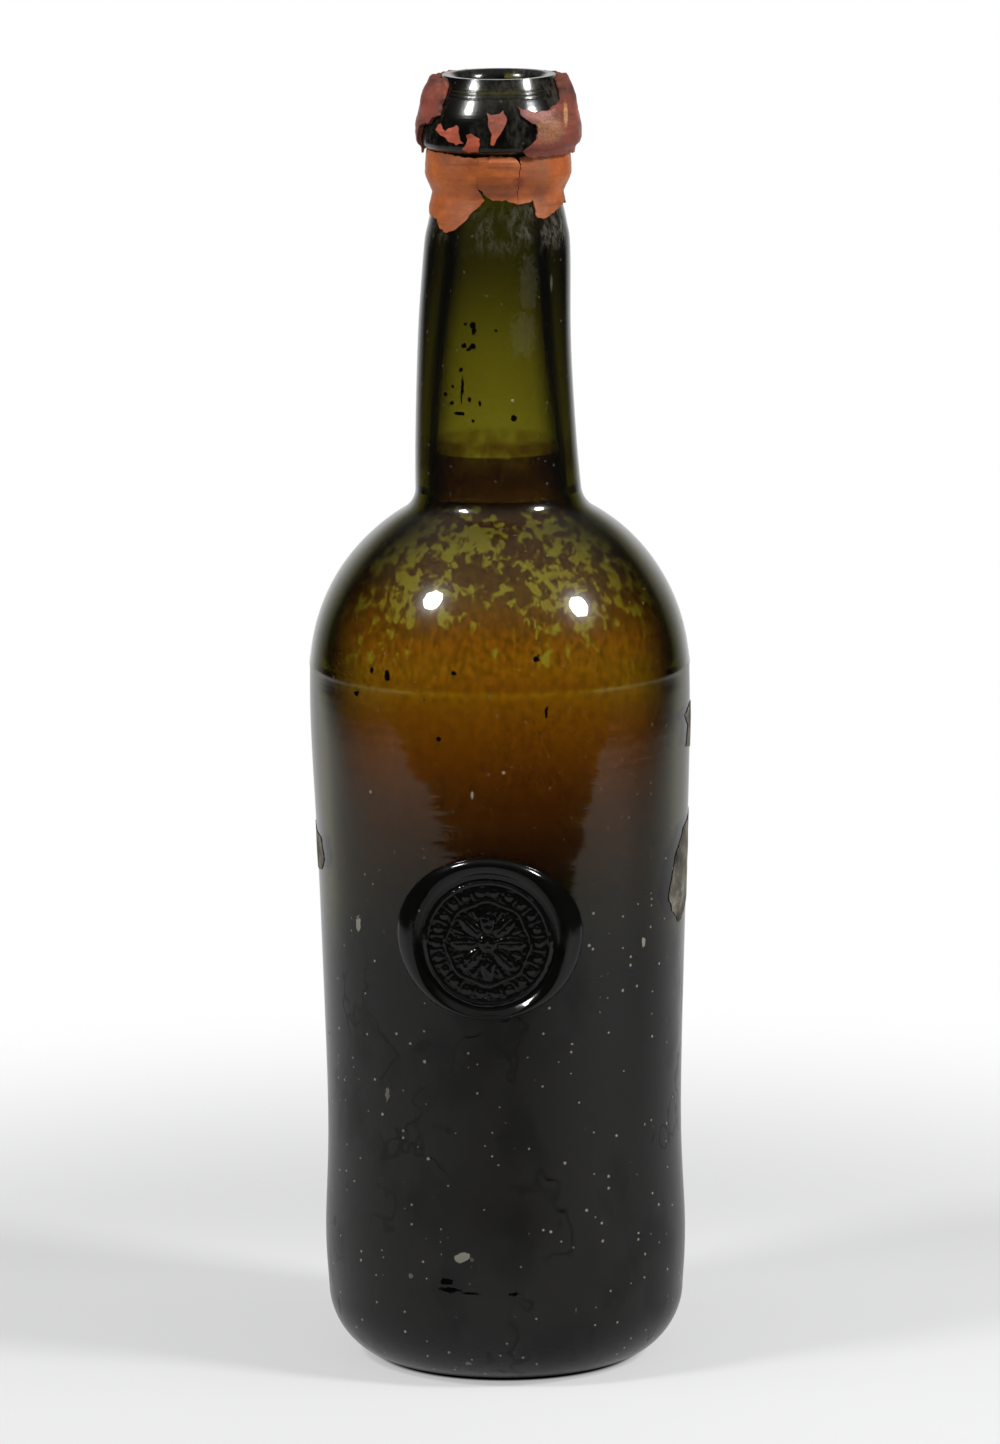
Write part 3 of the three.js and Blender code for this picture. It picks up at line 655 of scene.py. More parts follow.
DARK_MARKS = [
    (-7.8, -15.4, 234.3, 0.41, 3, 0.34), (-6.1, -16, 234.0, 0.81, 3, 0.68),
    (-5.9, -16, 232.9, 0.54, 3, 0.81), (-8.0, -15.5, 229.5, 0.68, 3, 0.61),
    (-6.3, -16, 229.5, 0.81, 3, 0.68), (-7.0, -16, 228.8, 0.54, 3, 0.34),
    (-8.8, -15.4, 224.2, 0.47, 3, 0.54), (-8.4, -15.6, 221.0, 0.3, 3, 2.16),
    (-8.7, -15.6, 218.6, 0.19, 3, 1.76), (-12.2, -13.5, 218.6, 0.41, 3, 0.47),
    (-10.6, -14.5, 220.5, 0.34, 3, 0.34), (-10.8, -14.6, 216.8, 0.47, 3, 0.47),
    (-6.9, -16.4, 217.8, 0.34, 3, 0.74), (-4.7, -17, 217.0, 0.3, 3, 0.81),
    (-9.2, -15.6, 214.6, 1.28, 3, 0.38), (-6.2, -16.8, 213.1, 0.38, 3, 0.34),
    (2.7, -17.1, 213.8, 0.68, 3, 0.68), (-1.0, -16.7, 233.0, 0.34, 3, 0.34),
    (7.3, -40.2, 164.3, 0.8, 4, 0.6), (-10.6, -40.4, 161.4, 0.6, 4, 0.5),
    (-25.2, -33.8, 159.7, 0.7, 4, 1.4), (-31.9, -28.2, 154.8, 0.6, 4, 0.6),
    (-14.0, -39.9, 146.7, 0.6, 4, 0.5), (-28.6, -31, 160.3, 0.4, 4, 0.8), (9.4, -40.9, 152.6, 0.35, 4, 1.5),
    (-12.9, -37.9, 24.9, 1.6, 4, 0.8), (-12.6, -38.2, 23.0, 2.6, 4, 0.7), (-8.2, -39, 22.5, 2.2, 4, 0.3),
    (1.6, -40, 22.4, 1.0, 4, 0.5),
]
more_specks = spots(place, (230, 230, 200), 0.1, 0.1, (4, 4, 9))
specks = most(marks_at(place, DARK_MARKS, ragged_noise), times(more_specks, 0.8))
smear = clouds(place, (60, 60, 40), 5.0, move=(1, 9, 3))
low_down = falls(z, 0.085, 0.11)
dark_smear = times(between(smear, 0.5, 0.66, 0.0, 0.2), low_down)
specks = most(specks, most(dark_smear, times(flow_line, 0.26)))
tree.links.new(specks, result["Specks"])
rough = between(smear, 0.4, 0.75, 0.012, 0.05)
tree.links.new(rough, result["Roughness"])
print("surface group with", len(surface.nodes), "nodes")

# %% [markdown]
# ## Dark olive glass
# The glass itself is clear. Its colour is a Volume Absorption inside the closed wall, as strong per
# metre as the real glass: thin places are yellow-green, thick places nearly black. Dust and specks
# are a second, solid shader mixed in by their masks.

# %% Glass materials
GLASS_IOR = 1.52
ABSORBS = (210.0, 222.0, 560.0)  # per metre, for red, green and blue
INNER_BUMP = 0.8


def olive_glass(name, bump, strength, roughness=None):
    """The glass. The mesh's own attribute inner_face is 1 on the inside of the wall and 0 elsewhere."""
    made = material(name)
    where = on_object()
    marks = add("Group", {"Place": where}, node_tree=surface)
    inner = add("Attribute", attribute_name="inner_face").outputs["Fac"]
    bump_here = scaled(inner, INNER_BUMP - bump, bump)
    relief = bumped(bump_here, 0.0004, marks.outputs["Height"])
    z = parts(where)[2]
    polish = marks.outputs["Roughness"] if roughness is None else roughness
    dull_inside = times(inner, between(z, 0.196, 0.205, 0.03, 0.15))
    polish = calc("ADD", polish, dull_inside)
    # The glass is tinted darker towards the top of the neck.
    glass_tint_and_painted_shade = blend(between(z, 0.226, 0.256), WHITE, (0.58, 0.6, 0.55, 1))
    uneven = clouds(where, (260, 260, 200), 4.0)
    tide = scaled(uneven, 0.0016, z)
    rim_of_crust = times(falls(tide, 0.2083, 0.2089), between(tide, 0.2, 0.203))
    rim_of_crust = times(rim_of_crust, between(uneven, 0.5, 0.6, 1.0, 0.1))
    glass_tint_and_painted_shade = blend(times(rim_of_crust, 0.8), glass_tint_and_painted_shade, (0.5, 0.36, 0.2, 1))
    # Painted shade: the base colour is darkened where the wall is seen at a slant, so the sides of the neck and
    # shoulder come out nearly black.
    slant = add("LayerWeight", {"Blend": 0.5}).outputs["Facing"]
    glass_tint_and_painted_shade = blend(1.0, glass_tint_and_painted_shade, ramp(slant, [(0.32, 1), (0.55, 0.36), (0.75, 0.1)]), "MULTIPLY")
    glass = add("BsdfPrincipled", {
        "Base Color": glass_tint_and_painted_shade, "Transmission Weight": 1.0, "IOR": GLASS_IOR,
        "Roughness": polish, "Normal": relief,
        "Coat Weight": 0.3, "Coat Roughness": 0.21,
    })
    share = most(marks.outputs["Dust"], marks.outputs["Specks"])
    dark_share = calc("DIVIDE", marks.outputs["Specks"], most(share, 0.01), clamp=True)
    dirt_colour = blend(dark_share, rgba(150, 146, 132), rgba(3, 1, 0))
    dirt = add("BsdfPrincipled", {"Base Color": dirt_colour, "Roughness": 0.8, "Specular IOR Level": 0.05})
    both = mix(share, glass, dirt)
    # Low down, dried wine sticks to the inside and stops the light.
    lees = add("BsdfPrincipled", {"Base Color": (0.012, 0.007, 0.004, 1), "Roughness": 0.9, "IOR": 1.05})
    stuck = times(falls(z, 0.09, 0.108), inner)
    both = mix(stuck, both, lees)
    density = 1.05 * strength * max(ABSORBS)
    inside = add("VolumeAbsorption", {
        "Color": (*(1 - strength * a / density for a in ABSORBS), 1), "Density": density,
    })
    show(both, Volume=inside)
    return made


body_finish = olive_glass("olive_glass", 0.55, 1.0)
finish_glass = olive_glass("finish_glass", 0.5, 2.2, roughness=0.17)
print("glass", body_finish.name, "and", finish_glass.name)

# %% [markdown]
# Spinning the line makes the whole body in one step. The points on the axis are welded, so the
# base closes, and then the normals are turned outwards.

# %% Spin the body
BODY_SEGMENTS = 144
bm = spun(body_line, BODY_SEGMENTS)
inner_face = bm.verts.layers.float.new("inner_face")
inner_wall = np.array(inside + moat + inner_dome)
for v in bm.verts:
    to_wall = np.hypot(inner_wall[:, 0] - hypot(v.co.x, v.co.y), inner_wall[:, 1] - v.co.z)
    v[inner_face] = float(to_wall.min() < 0.01)
print("inside of the wall:", int(sum(v[inner_face] for v in bm.verts)), "of", len(bm.verts), "points")
piece(bm, "body_glass", "olive_glass", [body_finish], "bottle_body")

# %% [markdown]
# ## Collar and string ring
# Both were laid on as hot glass and pinched to shape with a tool, which left faint grooves round
# the collar. They are rings with closed lines, so no ends have to be welded.

# %% Collar and ring
CLEAR = 0.3  # the gap between two pieces
RING_SEGMENTS = 112
COLLAR_R = 17.0
COLLAR_HEIGHT = 16.1
MOUTH_FLARE = 1.9
LIP_WIDTH = 1.2
RING_R = 15.1
RING_HEIGHT = 8.4

lip_in = BORE_R + MOUTH_FLARE
lip_out = lip_in + LIP_WIDTH
collar_side = through([
    (COLLAR_R - 1.5, down(COLLAR_HEIGHT)), (COLLAR_R - 0.3, down(COLLAR_HEIGHT - 1)),
    (COLLAR_R, down(COLLAR_HEIGHT - 3)), (COLLAR_R - 0.6, down(8.2)), (lip_out + 0.9, down(2.0)),
    (lip_out, down(0)),
], 8)


def tooled(line, grooves, depth, width):
    """Cuts shallow grooves into a rising line, after making it fine enough to hold them."""
    fine = []
    for (r0, z0), (r1, z1) in zip(line, line[1:]):
        count = max(1, int((z1 - z0) / (0.5 * width)))
        fine += [(r0 + (r1 - r0) * k / count, z0 + (z1 - z0) * k / count) for k in range(count)]
    fine.append(line[-1])
    return [
        (r - sum(depth * max(0, 1 - ((z - down(at)) / width) ** 2) for at in grooves), z) for r, z in fine
    ]


collar_side = tooled(collar_side, (2.55, 3.2, 4.1), 0.07, 0.22)
seat = NECK_TOP_R + CLEAR
ledge = down(NECK_END_D - CLEAR)
flare = arc((lip_in, ledge), (MOUTH_FLARE, HEIGHT - ledge), pi / 2, pi, 10)
collar_line = [(seat, down(COLLAR_HEIGHT))] + collar_side + flare + [(seat, ledge)]
bm = spun(collar_line, RING_SEGMENTS, closed=True)
piece(bm, "collar_glass", "finish_glass", [finish_glass], "lip_collar")

ring_top = COLLAR_HEIGHT + CLEAR
ring_bottom = ring_top + RING_HEIGHT
ring_side = through([
    (NECK_TOP_R + 0.7, down(ring_bottom)), (RING_R - 0.3, down(ring_bottom - 2)),
    (RING_R, down(ring_bottom - 0.45 * RING_HEIGHT)), (RING_R - 0.1, down(ring_top + 1.6)),
    (RING_R - 0.6, down(ring_top)),
], 6)
ring_line = [(seat, down(ring_bottom))] + ring_side + [(seat, down(ring_top))]
bm = spun(ring_line, RING_SEGMENTS, closed=True)
piece(bm, "ring_glass", "finish_glass", [finish_glass], "string_ring")

# %% [markdown]
# ## The wine crust
# Wine that dried in the bottle left a brown film on the inside of the wall: thin and amber on the
# upper body, thick and nearly black below, and flaked off in patches over the shoulder. A thin
# closed shell stands for it. Its colour is how much light one pass lets through, so flaked places
# are simply white, which is clear.

# %% Crust material
FILM_TOP = 0.21  # metres
FROM_SEAM = (20.0, -3.1)  # 0 at a height of 155 mm, 1 at 205 mm

crust_finish = material("wine_crust")
where = on_object()
x, y, z = parts(where)
cloud = clouds(where, (34, 34, 30), 5.0, 0.6)
uneven = scaled(calc("SUBTRACT", cloud, 0.5), 0.014, z)
height = calc("DIVIDE", uneven, FILM_TOP)
film = ramp(height, [
    (0.0, (0.03, 0.015, 0.01)), (0.42, (0.06, 0.03, 0.02)), (0.5, (0.2, 0.1, 0.06)),
    (0.58, (0.42, 0.24, 0.13)), (0.62, (0.64, 0.35, 0.15)), (0.66, (0.8, 0.46, 0.16)),
    (0.73, (1.0, 0.68, 0.2)), (0.79, (1.0, 0.64, 0.24)), (0.84, (0.68, 0.48, 0.33)),
    (0.955, (0.34, 0.2, 0.14)), (0.985, (0.7, 0.6, 0.5)),
])
grain = clouds(where, (900, 900, 500), 3.0)
film = blend(0.5, film, ramp(grain, [(0.3, (0.45, 0.4, 0.35)), (0.6, 1)]), "MULTIPLY")
runs = clouds(where, (1100, 1100, 70), 2.0)
film = blend(0.15, film, ramp(runs, [(0.35, (0.6, 0.55, 0.5)), (0.6, 1)]), "MULTIPLY")
# Over the shoulder the film lies on the front half only, so its flaked places show clear glass.
back = between(y, -0.012, 0.012)
shoulder_zone = between(scaled(back, 0.0145, z), 0.152, 0.168)
front_twice = scaled(scaled(back, -2.0, 2.0), shoulder_zone, calc("SUBTRACT", 1.0, shoulder_zone))
film = add("Gamma", {"Color": film, "Gamma": front_twice}).outputs[0]
column = times(between(x, -0.001, 0.002), falls(x, 0.008, 0.011))
column = times(column, falls(y, -0.03, -0.02))
column = times(column, times(between(z, 0.122, 0.13), falls(z, 0.15, 0.157)))
grains = times(spots(where, (800, 800, 700), 0.5, 0.5, (6, 1, 3)), column)
film = blend(times(grains, 0.6), film, (0.2, 0.1, 0.05, 1))
chips = add("TexVoronoi", {"Vector": mapped(where, (640, 640, 420)), "Scale": 1.0})
chip_value = add("SeparateColor", {0: chips.outputs["Color"]}).outputs[0]
lift = clouds(where, (190, 190, 125), 6.0, 0.72, move=(2, 6, 1))
level = scaled(calc("SUBTRACT", chip_value, 0.16), 0.24, lift)
# How much of the film is left, from the seam up: almost all, then less and less, and most of it
# again at the foot of the neck.
holds = ramp(scaled(z, *FROM_SEAM), [
    (0.02, 1), (0.03, 0.82), (0.18, 0.69), (0.3, 0.615), (0.5, 0.595), (0.66, 0.57), (0.74, 0.63),
    (0.8, 0.9), (0.965, 0.9), (1.0, 0.6),
])
off_middle = calc("ABSOLUTE", calc("ADD", x, 0.0065))
bare_middle = times(between(off_middle, 0.008, 0.015, 0.09, 0.0), falls(z, 0.172, 0.182))
bar = calc("ADD", holds, bare_middle)
loose = calc("GREATER_THAN", level, bar)
CHIPS = [
    (-15.6, -39.3, 157.5, 0.75, 6, 0.5), (-23.4, -32.8, 168.0, 0.8, 6, 2.0),
    (13.8, -38.2, 165.1, 0.8, 6, 2.4), (9.5, -39.1, 166.5, 0.5, 6, 1.0), (9.2, -40.1, 163.1, 0.9, 6, 0.4),
    (3.5, -41.3, 161.5, 0.5, 6, 0.4), (6.3, -41.1, 160.4, 0.5, 6, 0.3), (2.4, -39.6, 168.7, 0.4, 6, 1.8),
    (7.6, -38.4, 169.9, 0.6, 6, 1.1), (11.8, -37.3, 169.9, 0.7, 6, 1.3), (24.2, -30.6, 169.5, 1.1, 6, 2.0),
    (-35.5, -23.1, 159.3, 0.8, 6, 0.7),
]
chipped = marks_at(where, CHIPS, grain)
flaked = most(loose, chipped)
bare = ramp(scaled(z, *FROM_SEAM), [
    (0.3, (1, 0.88, 0.6)), (0.5, (0.95, 0.9, 0.7)), (0.75, (0.72, 0.7, 0.6)),
])
tint = blend(flaked, film, bare)
show(add("BsdfPrincipled", {"Base Color": tint, "Transmission Weight": 1.0, "IOR": 1.12, "Roughness": 0.14}))
print("wine crust with", len(tree.nodes), "nodes")

# %% Crust shell
CRUST_GAP = 0.08
CRUST = 0.3
CRUST_TOP = neck_foot_z + 9.4
crust_bed = inner_dome[:0:-1] + moat[::-1] + [(r, z) for r, z in inside[1:] if z < CRUST_TOP]
outer_film = beside(crust_bed, -CRUST_GAP)
inner_film = beside(crust_bed, -CRUST_GAP - CRUST)
crust_line = [(0, outer_film[0][1])] + outer_film[1:] + inner_film[:0:-1] + [(0, inner_film[0][1])]
piece(spun(crust_line, BODY_SEGMENTS), "crust_film", "wine_crust", [crust_finish], "wine_crust")

# %% [markdown]
# ## The glass seal
# A gob of hot glass was pressed against the wall with an engraved stamp. The stamp left a round
# field with a raised pattern, and the glass squeezed out round it as a fat rim. The seal is made
# flat and face up: a dense disc is spun from the rim's line, the stamp's pattern raises its
# points, and then the whole gob is bent round the wall.

# %% Seal shape
SEAL_Z = 101.8
SEAL_TURN = radians(-4.6)
SEAL_WIDTH = 41.0
SEAL_TALL = 36.4
DISC_R = 15.5
DISC_LOW = 0.75  # how far the stamped disc lies below the gob's middle
SEAL_FIELD = 1.5  # how thick the glass is inside the stamp, and at the rim's crest
SEAL_CREST = 2.95
SEAL_RING_R = 13.7
BEAD_RING_R = 11.3
BEADS = 22
PETALS = 8
PETAL_OUT = 8.2
SEAL_SEGMENTS = 220

seal_edge = SEAL_TALL / 2
rim = through([
    (DISC_R - 1.2, SEAL_FIELD - 0.15), (DISC_R - 0.7, SEAL_FIELD + 0.02), (DISC_R - 0.2, SEAL_FIELD + 0.35),
    (DISC_R + 0.35, SEAL_CREST - 0.6), (DISC_R + 0.9, SEAL_CREST - 0.16), (DISC_R + 1.5, SEAL_CREST),
    (seal_edge - 0.5, SEAL_CREST - 0.5), (seal_edge - 0.1, SEAL_CREST - 1.4), (seal_edge, 0.35),
], 6)
field = [(r, SEAL_FIELD) for r in np.arange(0, DISC_R - 1.6, 0.2)]


def hump(distance, width):
    """A soft bump: 1 at distance 0, falling to 0 at width."""
    share = min(abs(distance) / width, 1)
    return (1 - share * share) ** 2


def stamped(x, y):
    """How far the stamp raised the glass at a place on the field, in millimetres."""
    r = hypot(x, y)
    if r > SEAL_RING_R + 0.6:
        return 0.0
    turn = np.arctan2(y, x)
    waver = noise_at(x * 0.9, y * 0.9, 3.1)
    ring = 0.34 * hump(r - SEAL_RING_R + 0.25 - 0.12 * waver, 0.4)
    step = 2 * pi / BEADS
    to_bead = (turn + 0.5 * step) % step - 0.5 * step
    bead = 0.46 * hump(hypot(r - BEAD_RING_R, to_bead * BEAD_RING_R), 1.05)
    between_beads = (turn % step) - 0.5 * step
    dash = 0.24 * hump(hypot((r - BEAD_RING_R) / 1.7, between_beads * BEAD_RING_R / 0.34), 1.0)
    inner_ring = 0.26 * hump(r - 9.15 - 0.25 * cos(PETALS * turn), 0.34)
    wave = 2 * pi / PETALS
    to_petal = (turn + 0.5 * wave) % wave - 0.5 * wave
    along = (r - 0.5 * (PETAL_OUT + 2.3)) / (0.5 * (PETAL_OUT - 2.3))
    across = to_petal * max(r, 0.1) / 1.45
    petal = 0.5 * max(0.0, 1 - along * along - across * across) ** 0.5
    petal -= 0.18 * hump(across, 0.25) * max(0.0, 1 - along * along)
    gap_turn = (turn % wave) - 0.5 * wave
    leaf = 0.28 * hump(hypot((r - 6.9) / 1.5, gap_turn * r / 0.5), 1.0)
    boss = 0.7 * max(0.0, 1 - (r / 2.0) ** 2) ** 0.5
    worn = 0.08 * waver + 0.05 * noise_at(x * 2.6, y * 2.6, 8.2)
    return max(ring, bead, dash, inner_ring, petal, leaf, boss) * (0.85 + 0.3 * waver) + worn


def seal_mesh():
    bm = spun(field + rim + [(seal_edge - 0.25, -0.3)], SEAL_SEGMENTS)
    back_rim = [e for e in bm.edges if e.is_boundary]
    spread = (SEAL_WIDTH - SEAL_TALL) / 2
    wall_r = radius_at(outside, SEAL_Z)
    for v in bm.verts:
        x, y, z = v.co
        r = hypot(x, y)
        z += stamped(x, y) if z > 0.5 else 0.0
        if r > DISC_R - 0.5:
            z -= 0.12 * (0.5 + 0.5 * noise_at(x * 0.08, y * 0.08, 5.0)) * min(1, max(z, 0))
        share = smooth(r, DISC_R, seal_edge)
        wobble = 0.35 * noise_at(x * 0.09, y * 0.09, 1.7) * share
        wide = (r + spread * share + wobble) / r if r > 0 else 1
        v.co = (x * wide, y + DISC_LOW * share, z)
    for v in bm.verts:
        x, y, z = v.co
        fall = max(wall_r ** 2 - x * x, 0) ** 0.5 - wall_r
        follow = smooth(hypot(x, y), 0.8 * DISC_R, SEAL_WIDTH / 2)
        slope = radius_at(outside, SEAL_Z + y) - wall_r
        v.co.z = z + fall * (0.35 + 0.65 * follow) + slope * follow * (1 - min(max(z / 3, 0), 1))
    back = bmesh.ops.extrude_edge_only(bm, edges=back_rim)
    middle = bm.verts.new((0, 0, -0.5))
    for e in back["geom"]:
        if isinstance(e, bmesh.types.BMEdge) and e.is_boundary:
            bm.faces.new((*e.verts, middle))
    bmesh.ops.recalc_face_normals(bm, faces=bm.faces)
    bmesh.ops.rotate(bm, verts=bm.verts, cent=(0, 0, 0), matrix=Matrix.Rotation(pi / 2, 3, "X"))
    bmesh.ops.translate(bm, verts=bm.verts, vec=(0, -wall_r, SEAL_Z))
    bmesh.ops.rotate(bm, verts=bm.verts, cent=(0, 0, 0), matrix=Matrix.Rotation(SEAL_TURN, 3, "Z"))
    return bm


# %% Seal material
seal_finish = material("seal_glass")
where = on_object()
ripple = clouds(where, (300, 300, 300), 3.0)
relief = bumped(0.2, 0.0002, ripple)
grime = spots(where, (700, 700, 700), 0.25, 0.05, (3, 3, 3))
colour = blend(times(grime, 0.5), rgba(9, 9, 8), rgba(110, 104, 92))
polish = between(ripple, 0.35, 0.7, 0.08, 0.16)
show(add("BsdfPrincipled", {"Base Color": colour, "Roughness": polish, "IOR": GLASS_IOR, "Normal": relief}))
piece(seal_mesh(), "seal_glass_gob", "seal_glass", [seal_finish], "glass_seal", sharp=80)

# %% [markdown]
# ## Sealing wax
# The mouth was dipped in hot wax, which has since cracked and mostly fallen off. Each shard is
# drawn flat, as an outline of degrees round the bottle and depth under the lip. The outline gets a
# ragged edge, is diced into small squares, bent round the glass, and pulled out to its thickness.

# %% Shard helpers
SHARD_PITCH = 0.55  # the size of the small squares
SHARD_R = 16.5  # the radius at which an outline's degrees are measured


def ragged(outline, step, depth, seed):
    """Adds points along an outline and moves them a little, as a broken edge.

    The move depends on the place alone, so both sides of a crack follow the same line."""
    line = []
    for k, start in enumerate(outline):
        a, b = Vector(start), Vector(outline[(k + 1) % len(outline)])
        count = max(int((b - a).length / step), 1)
        for i in range(count):
            p = a.lerp(b, i / count)
            if i:
                slow = Vector((p.x * 0.8, p.y * 0.8, seed))
                quick = Vector((p.x * 2.7, p.y * 2.7, seed))
                p += depth * noise.noise_vector(slow).xy + 0.4 * depth * noise.noise_vector(quick).xy
            line.append(p)
    return line


def diced(outline, pitch):
    """A flat face with this outline, cut into a grid."""
    bm = bmesh.new()
    bm.faces.new([bm.verts.new((p[0], p[1], 0)) for p in outline])
    bmesh.ops.triangulate(bm, faces=bm.faces)
    for axis in (0, 1):
        low = min(p[axis] for p in outline)
        high = max(p[axis] for p in outline)
        for at in np.arange(low + pitch, high, pitch):
            point, normal = [0, 0, 0], [0, 0, 0]
            point[axis], normal[axis] = at, 1
            geometry = bm.verts[:] + bm.edges[:] + bm.faces[:]
            bmesh.ops.bisect_plane(bm, geom=geometry, plane_co=point, plane_no=normal, dist=1e-5)
    runs = {e: e.verts[0].co - e.verts[1].co for e in bm.edges}
    slanted = [e for e, run in runs.items() if min(abs(run.x), abs(run.y)) > 1e-4]
    bmesh.ops.dissolve_limit(bm, angle_limit=0.001, verts=[], edges=slanted)
    return bm


def shard(
    outline, bed, near, far, radius=SHARD_R, pitch=SHARD_PITCH, edge_step=0.7, edge_depth=0.45, seed=0.5,
):
    """A shard bent round a bed, which gives the radius at a height. near and far say how far its
    two faces lie from the bed: each is a distance, or a function of turn and depth."""
    flat = [(radians(turn) * radius, down(depth)) for turn, depth in outline]
    bm = diced(ragged(flat, edge_step, edge_depth, seed), pitch)
    inner = {v: (v.co.x / radius, v.co.y) for v in bm.verts}
    places = {tuple(round(c, 5) for c in v.co): place for v, place in inner.items()}
    top = bmesh.ops.extrude_face_region(bm, geom=bm.faces[:], use_keep_orig=True)
    outer = [g for g in top["geom"] if isinstance(g, bmesh.types.BMVert)]
    outer = {v: places[tuple(round(c, 5) for c in v.co)] for v in outer}
    for verts, stand in ((outer, far), (inner, near)):
        for v, (turn, height) in verts.items():
            r = bed(height) + (stand(degrees(turn), HEIGHT - height) if callable(stand) else stand)
            v.co = (r * sin(turn), -r * cos(turn), height)
    bmesh.ops.recalc_face_normals(bm, faces=bm.faces)
    for face in bm.faces:
        if len({v in inner for v in face.verts}) > 1:
            face.material_index = 1
    return bm


# %% [markdown]
# ### Wax colours
# The skirt is orange-brown and satin, with darker streaks where the brush ran round. The coat on
# the collar is redder and rubbed. Both break with a brighter, duller edge, which is a second
# material on the faces of the rim.

# %% Wax materials
wax_group, given, result = group_of(
    "old_wax",
    {"Place": "Vector", "Colour": "Color", "Dark": "Color", "Bright": "Color", "Dirt": "Float"},
    {"Colour": "Color", "Height": "Float", "Roughness": "Float"},
)
place = given["Place"]
mottle = clouds(place, (190, 190, 260), 6.0, 0.6)
brushed = clouds(place, (45, 45, 620), 3.0)
fine = clouds(place, (1500, 1500, 1500), 4.0)
patches = clouds(place, (80, 80, 90), 3.0, move=(4, 7, 2))
colour = blend(between(mottle, 0.42, 0.7), given["Colour"], given["Bright"])
colour = blend(times(between(brushed, 0.5, 0.75), 0.55), colour, given["Dark"])
dirt = times(between(patches, 0.48, 0.7), given["Dirt"])
colour = blend(dirt, colour, given["Dark"])
freckles = spots(place, (900, 900, 900), 0.3, 0.1, (2, 2, 5))
colour = blend(times(freckles, 0.6), colour, given["Dark"])
tree.links.new(colour, result["Colour"])
height = scaled(brushed, 0.5, scaled(mottle, 0.7, times(fine, 0.08)))
tree.links.new(height, result["Height"])
tree.links.new(between(patches, 0.35, 0.7, 0.36, 0.62), result["Roughness"])


def wax(name, colour, dark, bright, dirt, bump=0.6, roughness=None, rubbed=()):
    """Old wax in screen colours. rubbed lists worn places, each with its mark, colour and share."""
    made = material(name)
    where = on_object()
    look = add("Group", {
        "Place": where, "Colour": rgba(*colour), "Dark": rgba(*dark), "Bright": rgba(*bright), "Dirt": dirt,
    }, node_tree=wax_group)
    relief = bumped(bump, 0.0006, look.outputs["Height"])
    colour = look.outputs["Colour"]
    grit = clouds(where, (2600, 2600, 2600), 2.0)
    for mark, worn_colour, share in rubbed:
        worn = times(marks_at(where, [mark], grit), between(grit, 0.38, 0.6, 0.25 * share, share))
        colour = blend(worn, colour, rgba(*worn_colour))
    shader = add("BsdfPrincipled", {
        "Base Color": colour, "Normal": relief, "Specular IOR Level": 0.4,
        "Roughness": look.outputs["Roughness"] if roughness is None else roughness,
    })
    show(shader)
    return made


skirt_wax = wax("skirt_wax", (160, 84, 40), (92, 56, 42), (184, 100, 48), 0.55, rubbed=[
    ((4.2, -15.0, 265.4, 1.5, 3, 1.3), (118, 44, 34), 0.8), ((-1.5, -15, 262.6, 7, 3, 1.6), (150, 84, 68), 0.5),
    ((9.5, -12.6, 268.5, 1.2, 3, 4.0), (120, 84, 60), 0.6),
])
collar_wax = wax("collar_wax", (116, 60, 48), (64, 42, 36), (146, 74, 56), 0.8, bump=1.0, rubbed=[
    ((10.6, -13.4, 276.6, 4.4, 6, 3.0), (158, 116, 76), 0.75),
    ((8.6, -14.0, 280.2, 4.6, 5, 1.8), (176, 98, 84), 0.7),
    ((14.4, -8.4, 279.0, 0.6, 3, 3.2), (206, 160, 108), 0.9),
    ((-15.4, -7, 281.5, 2.0, 6, 5.0), (150, 72, 60), 0.5),
])
flake_wax = wax("flake_wax", (172, 78, 52), (104, 54, 42), (200, 98, 64), 0.3, rubbed=[
    ((-0.6, -16.5, 278.8, 5.5, 4, 3.1), (124, 80, 70), 0.95),
])
collar_edge = wax("collar_edge_wax", (112, 60, 46), (70, 44, 36), (160, 88, 62), 0.6, bump=1.0, roughness=0.7)
broken_wax = wax("broken_wax", (176, 96, 52), (120, 62, 40), (206, 128, 76), 0.25, bump=1.0, roughness=0.75)
print("waxes", [m.name for m in bpy.data.materials if "wax" in m.name])

# %% [markdown]
# ### The skirt
# The skirt lies over the neck and the string ring, so its bed is the outline of both, with the
# creases filled. It stands away from the glass a little more at its thin hanging tips.

# %% Skirt shards
creases = [(NECK_TOP_R + 0.3, down(ring_bottom + 0.9)), (NECK_TOP_R + 0.85, down(ring_bottom - 0.4))]
over_ring = [(r, z) for r, z in ring_side if down(ring_bottom - 1.6) < z < down(ring_top + 1.6)]
skirt_bed = partial(radius_at, [(r, z) for r, z in neck_side if z < down(ring_bottom + 2.2)]
                    + creases + over_ring + [(RING_R - 0.1, down(ring_top - 0.4))])

SKIRT_TOP = 16.2
BREAK = (-8, 19)  # where the top edge is broken, in degrees round the bottle
# Depth, and how far the skirt's inner face stands off its bed: more at the hanging tips.
STAND_OFF = [(24.0, 0.12), (26.5, 0.3), (33.0, 0.42)]
# Depth and thickness: a broken top edge, a roll over the ring, a thin waist under it, and the tips.
SKIRT_COAT = [
    (16.2, 0.62), (18.0, 0.78), (21.4, 0.9), (22.8, 0.8), (24.2, 0.48), (26.0, 0.34), (29.0, 0.36),
    (34.0, 0.28),
]


def from_table(table, value):
    return float(np.interp(value, [row[0] for row in table], [row[1] for row in table]))


def skirt_inner(turn, depth):
    return from_table(STAND_OFF, depth)


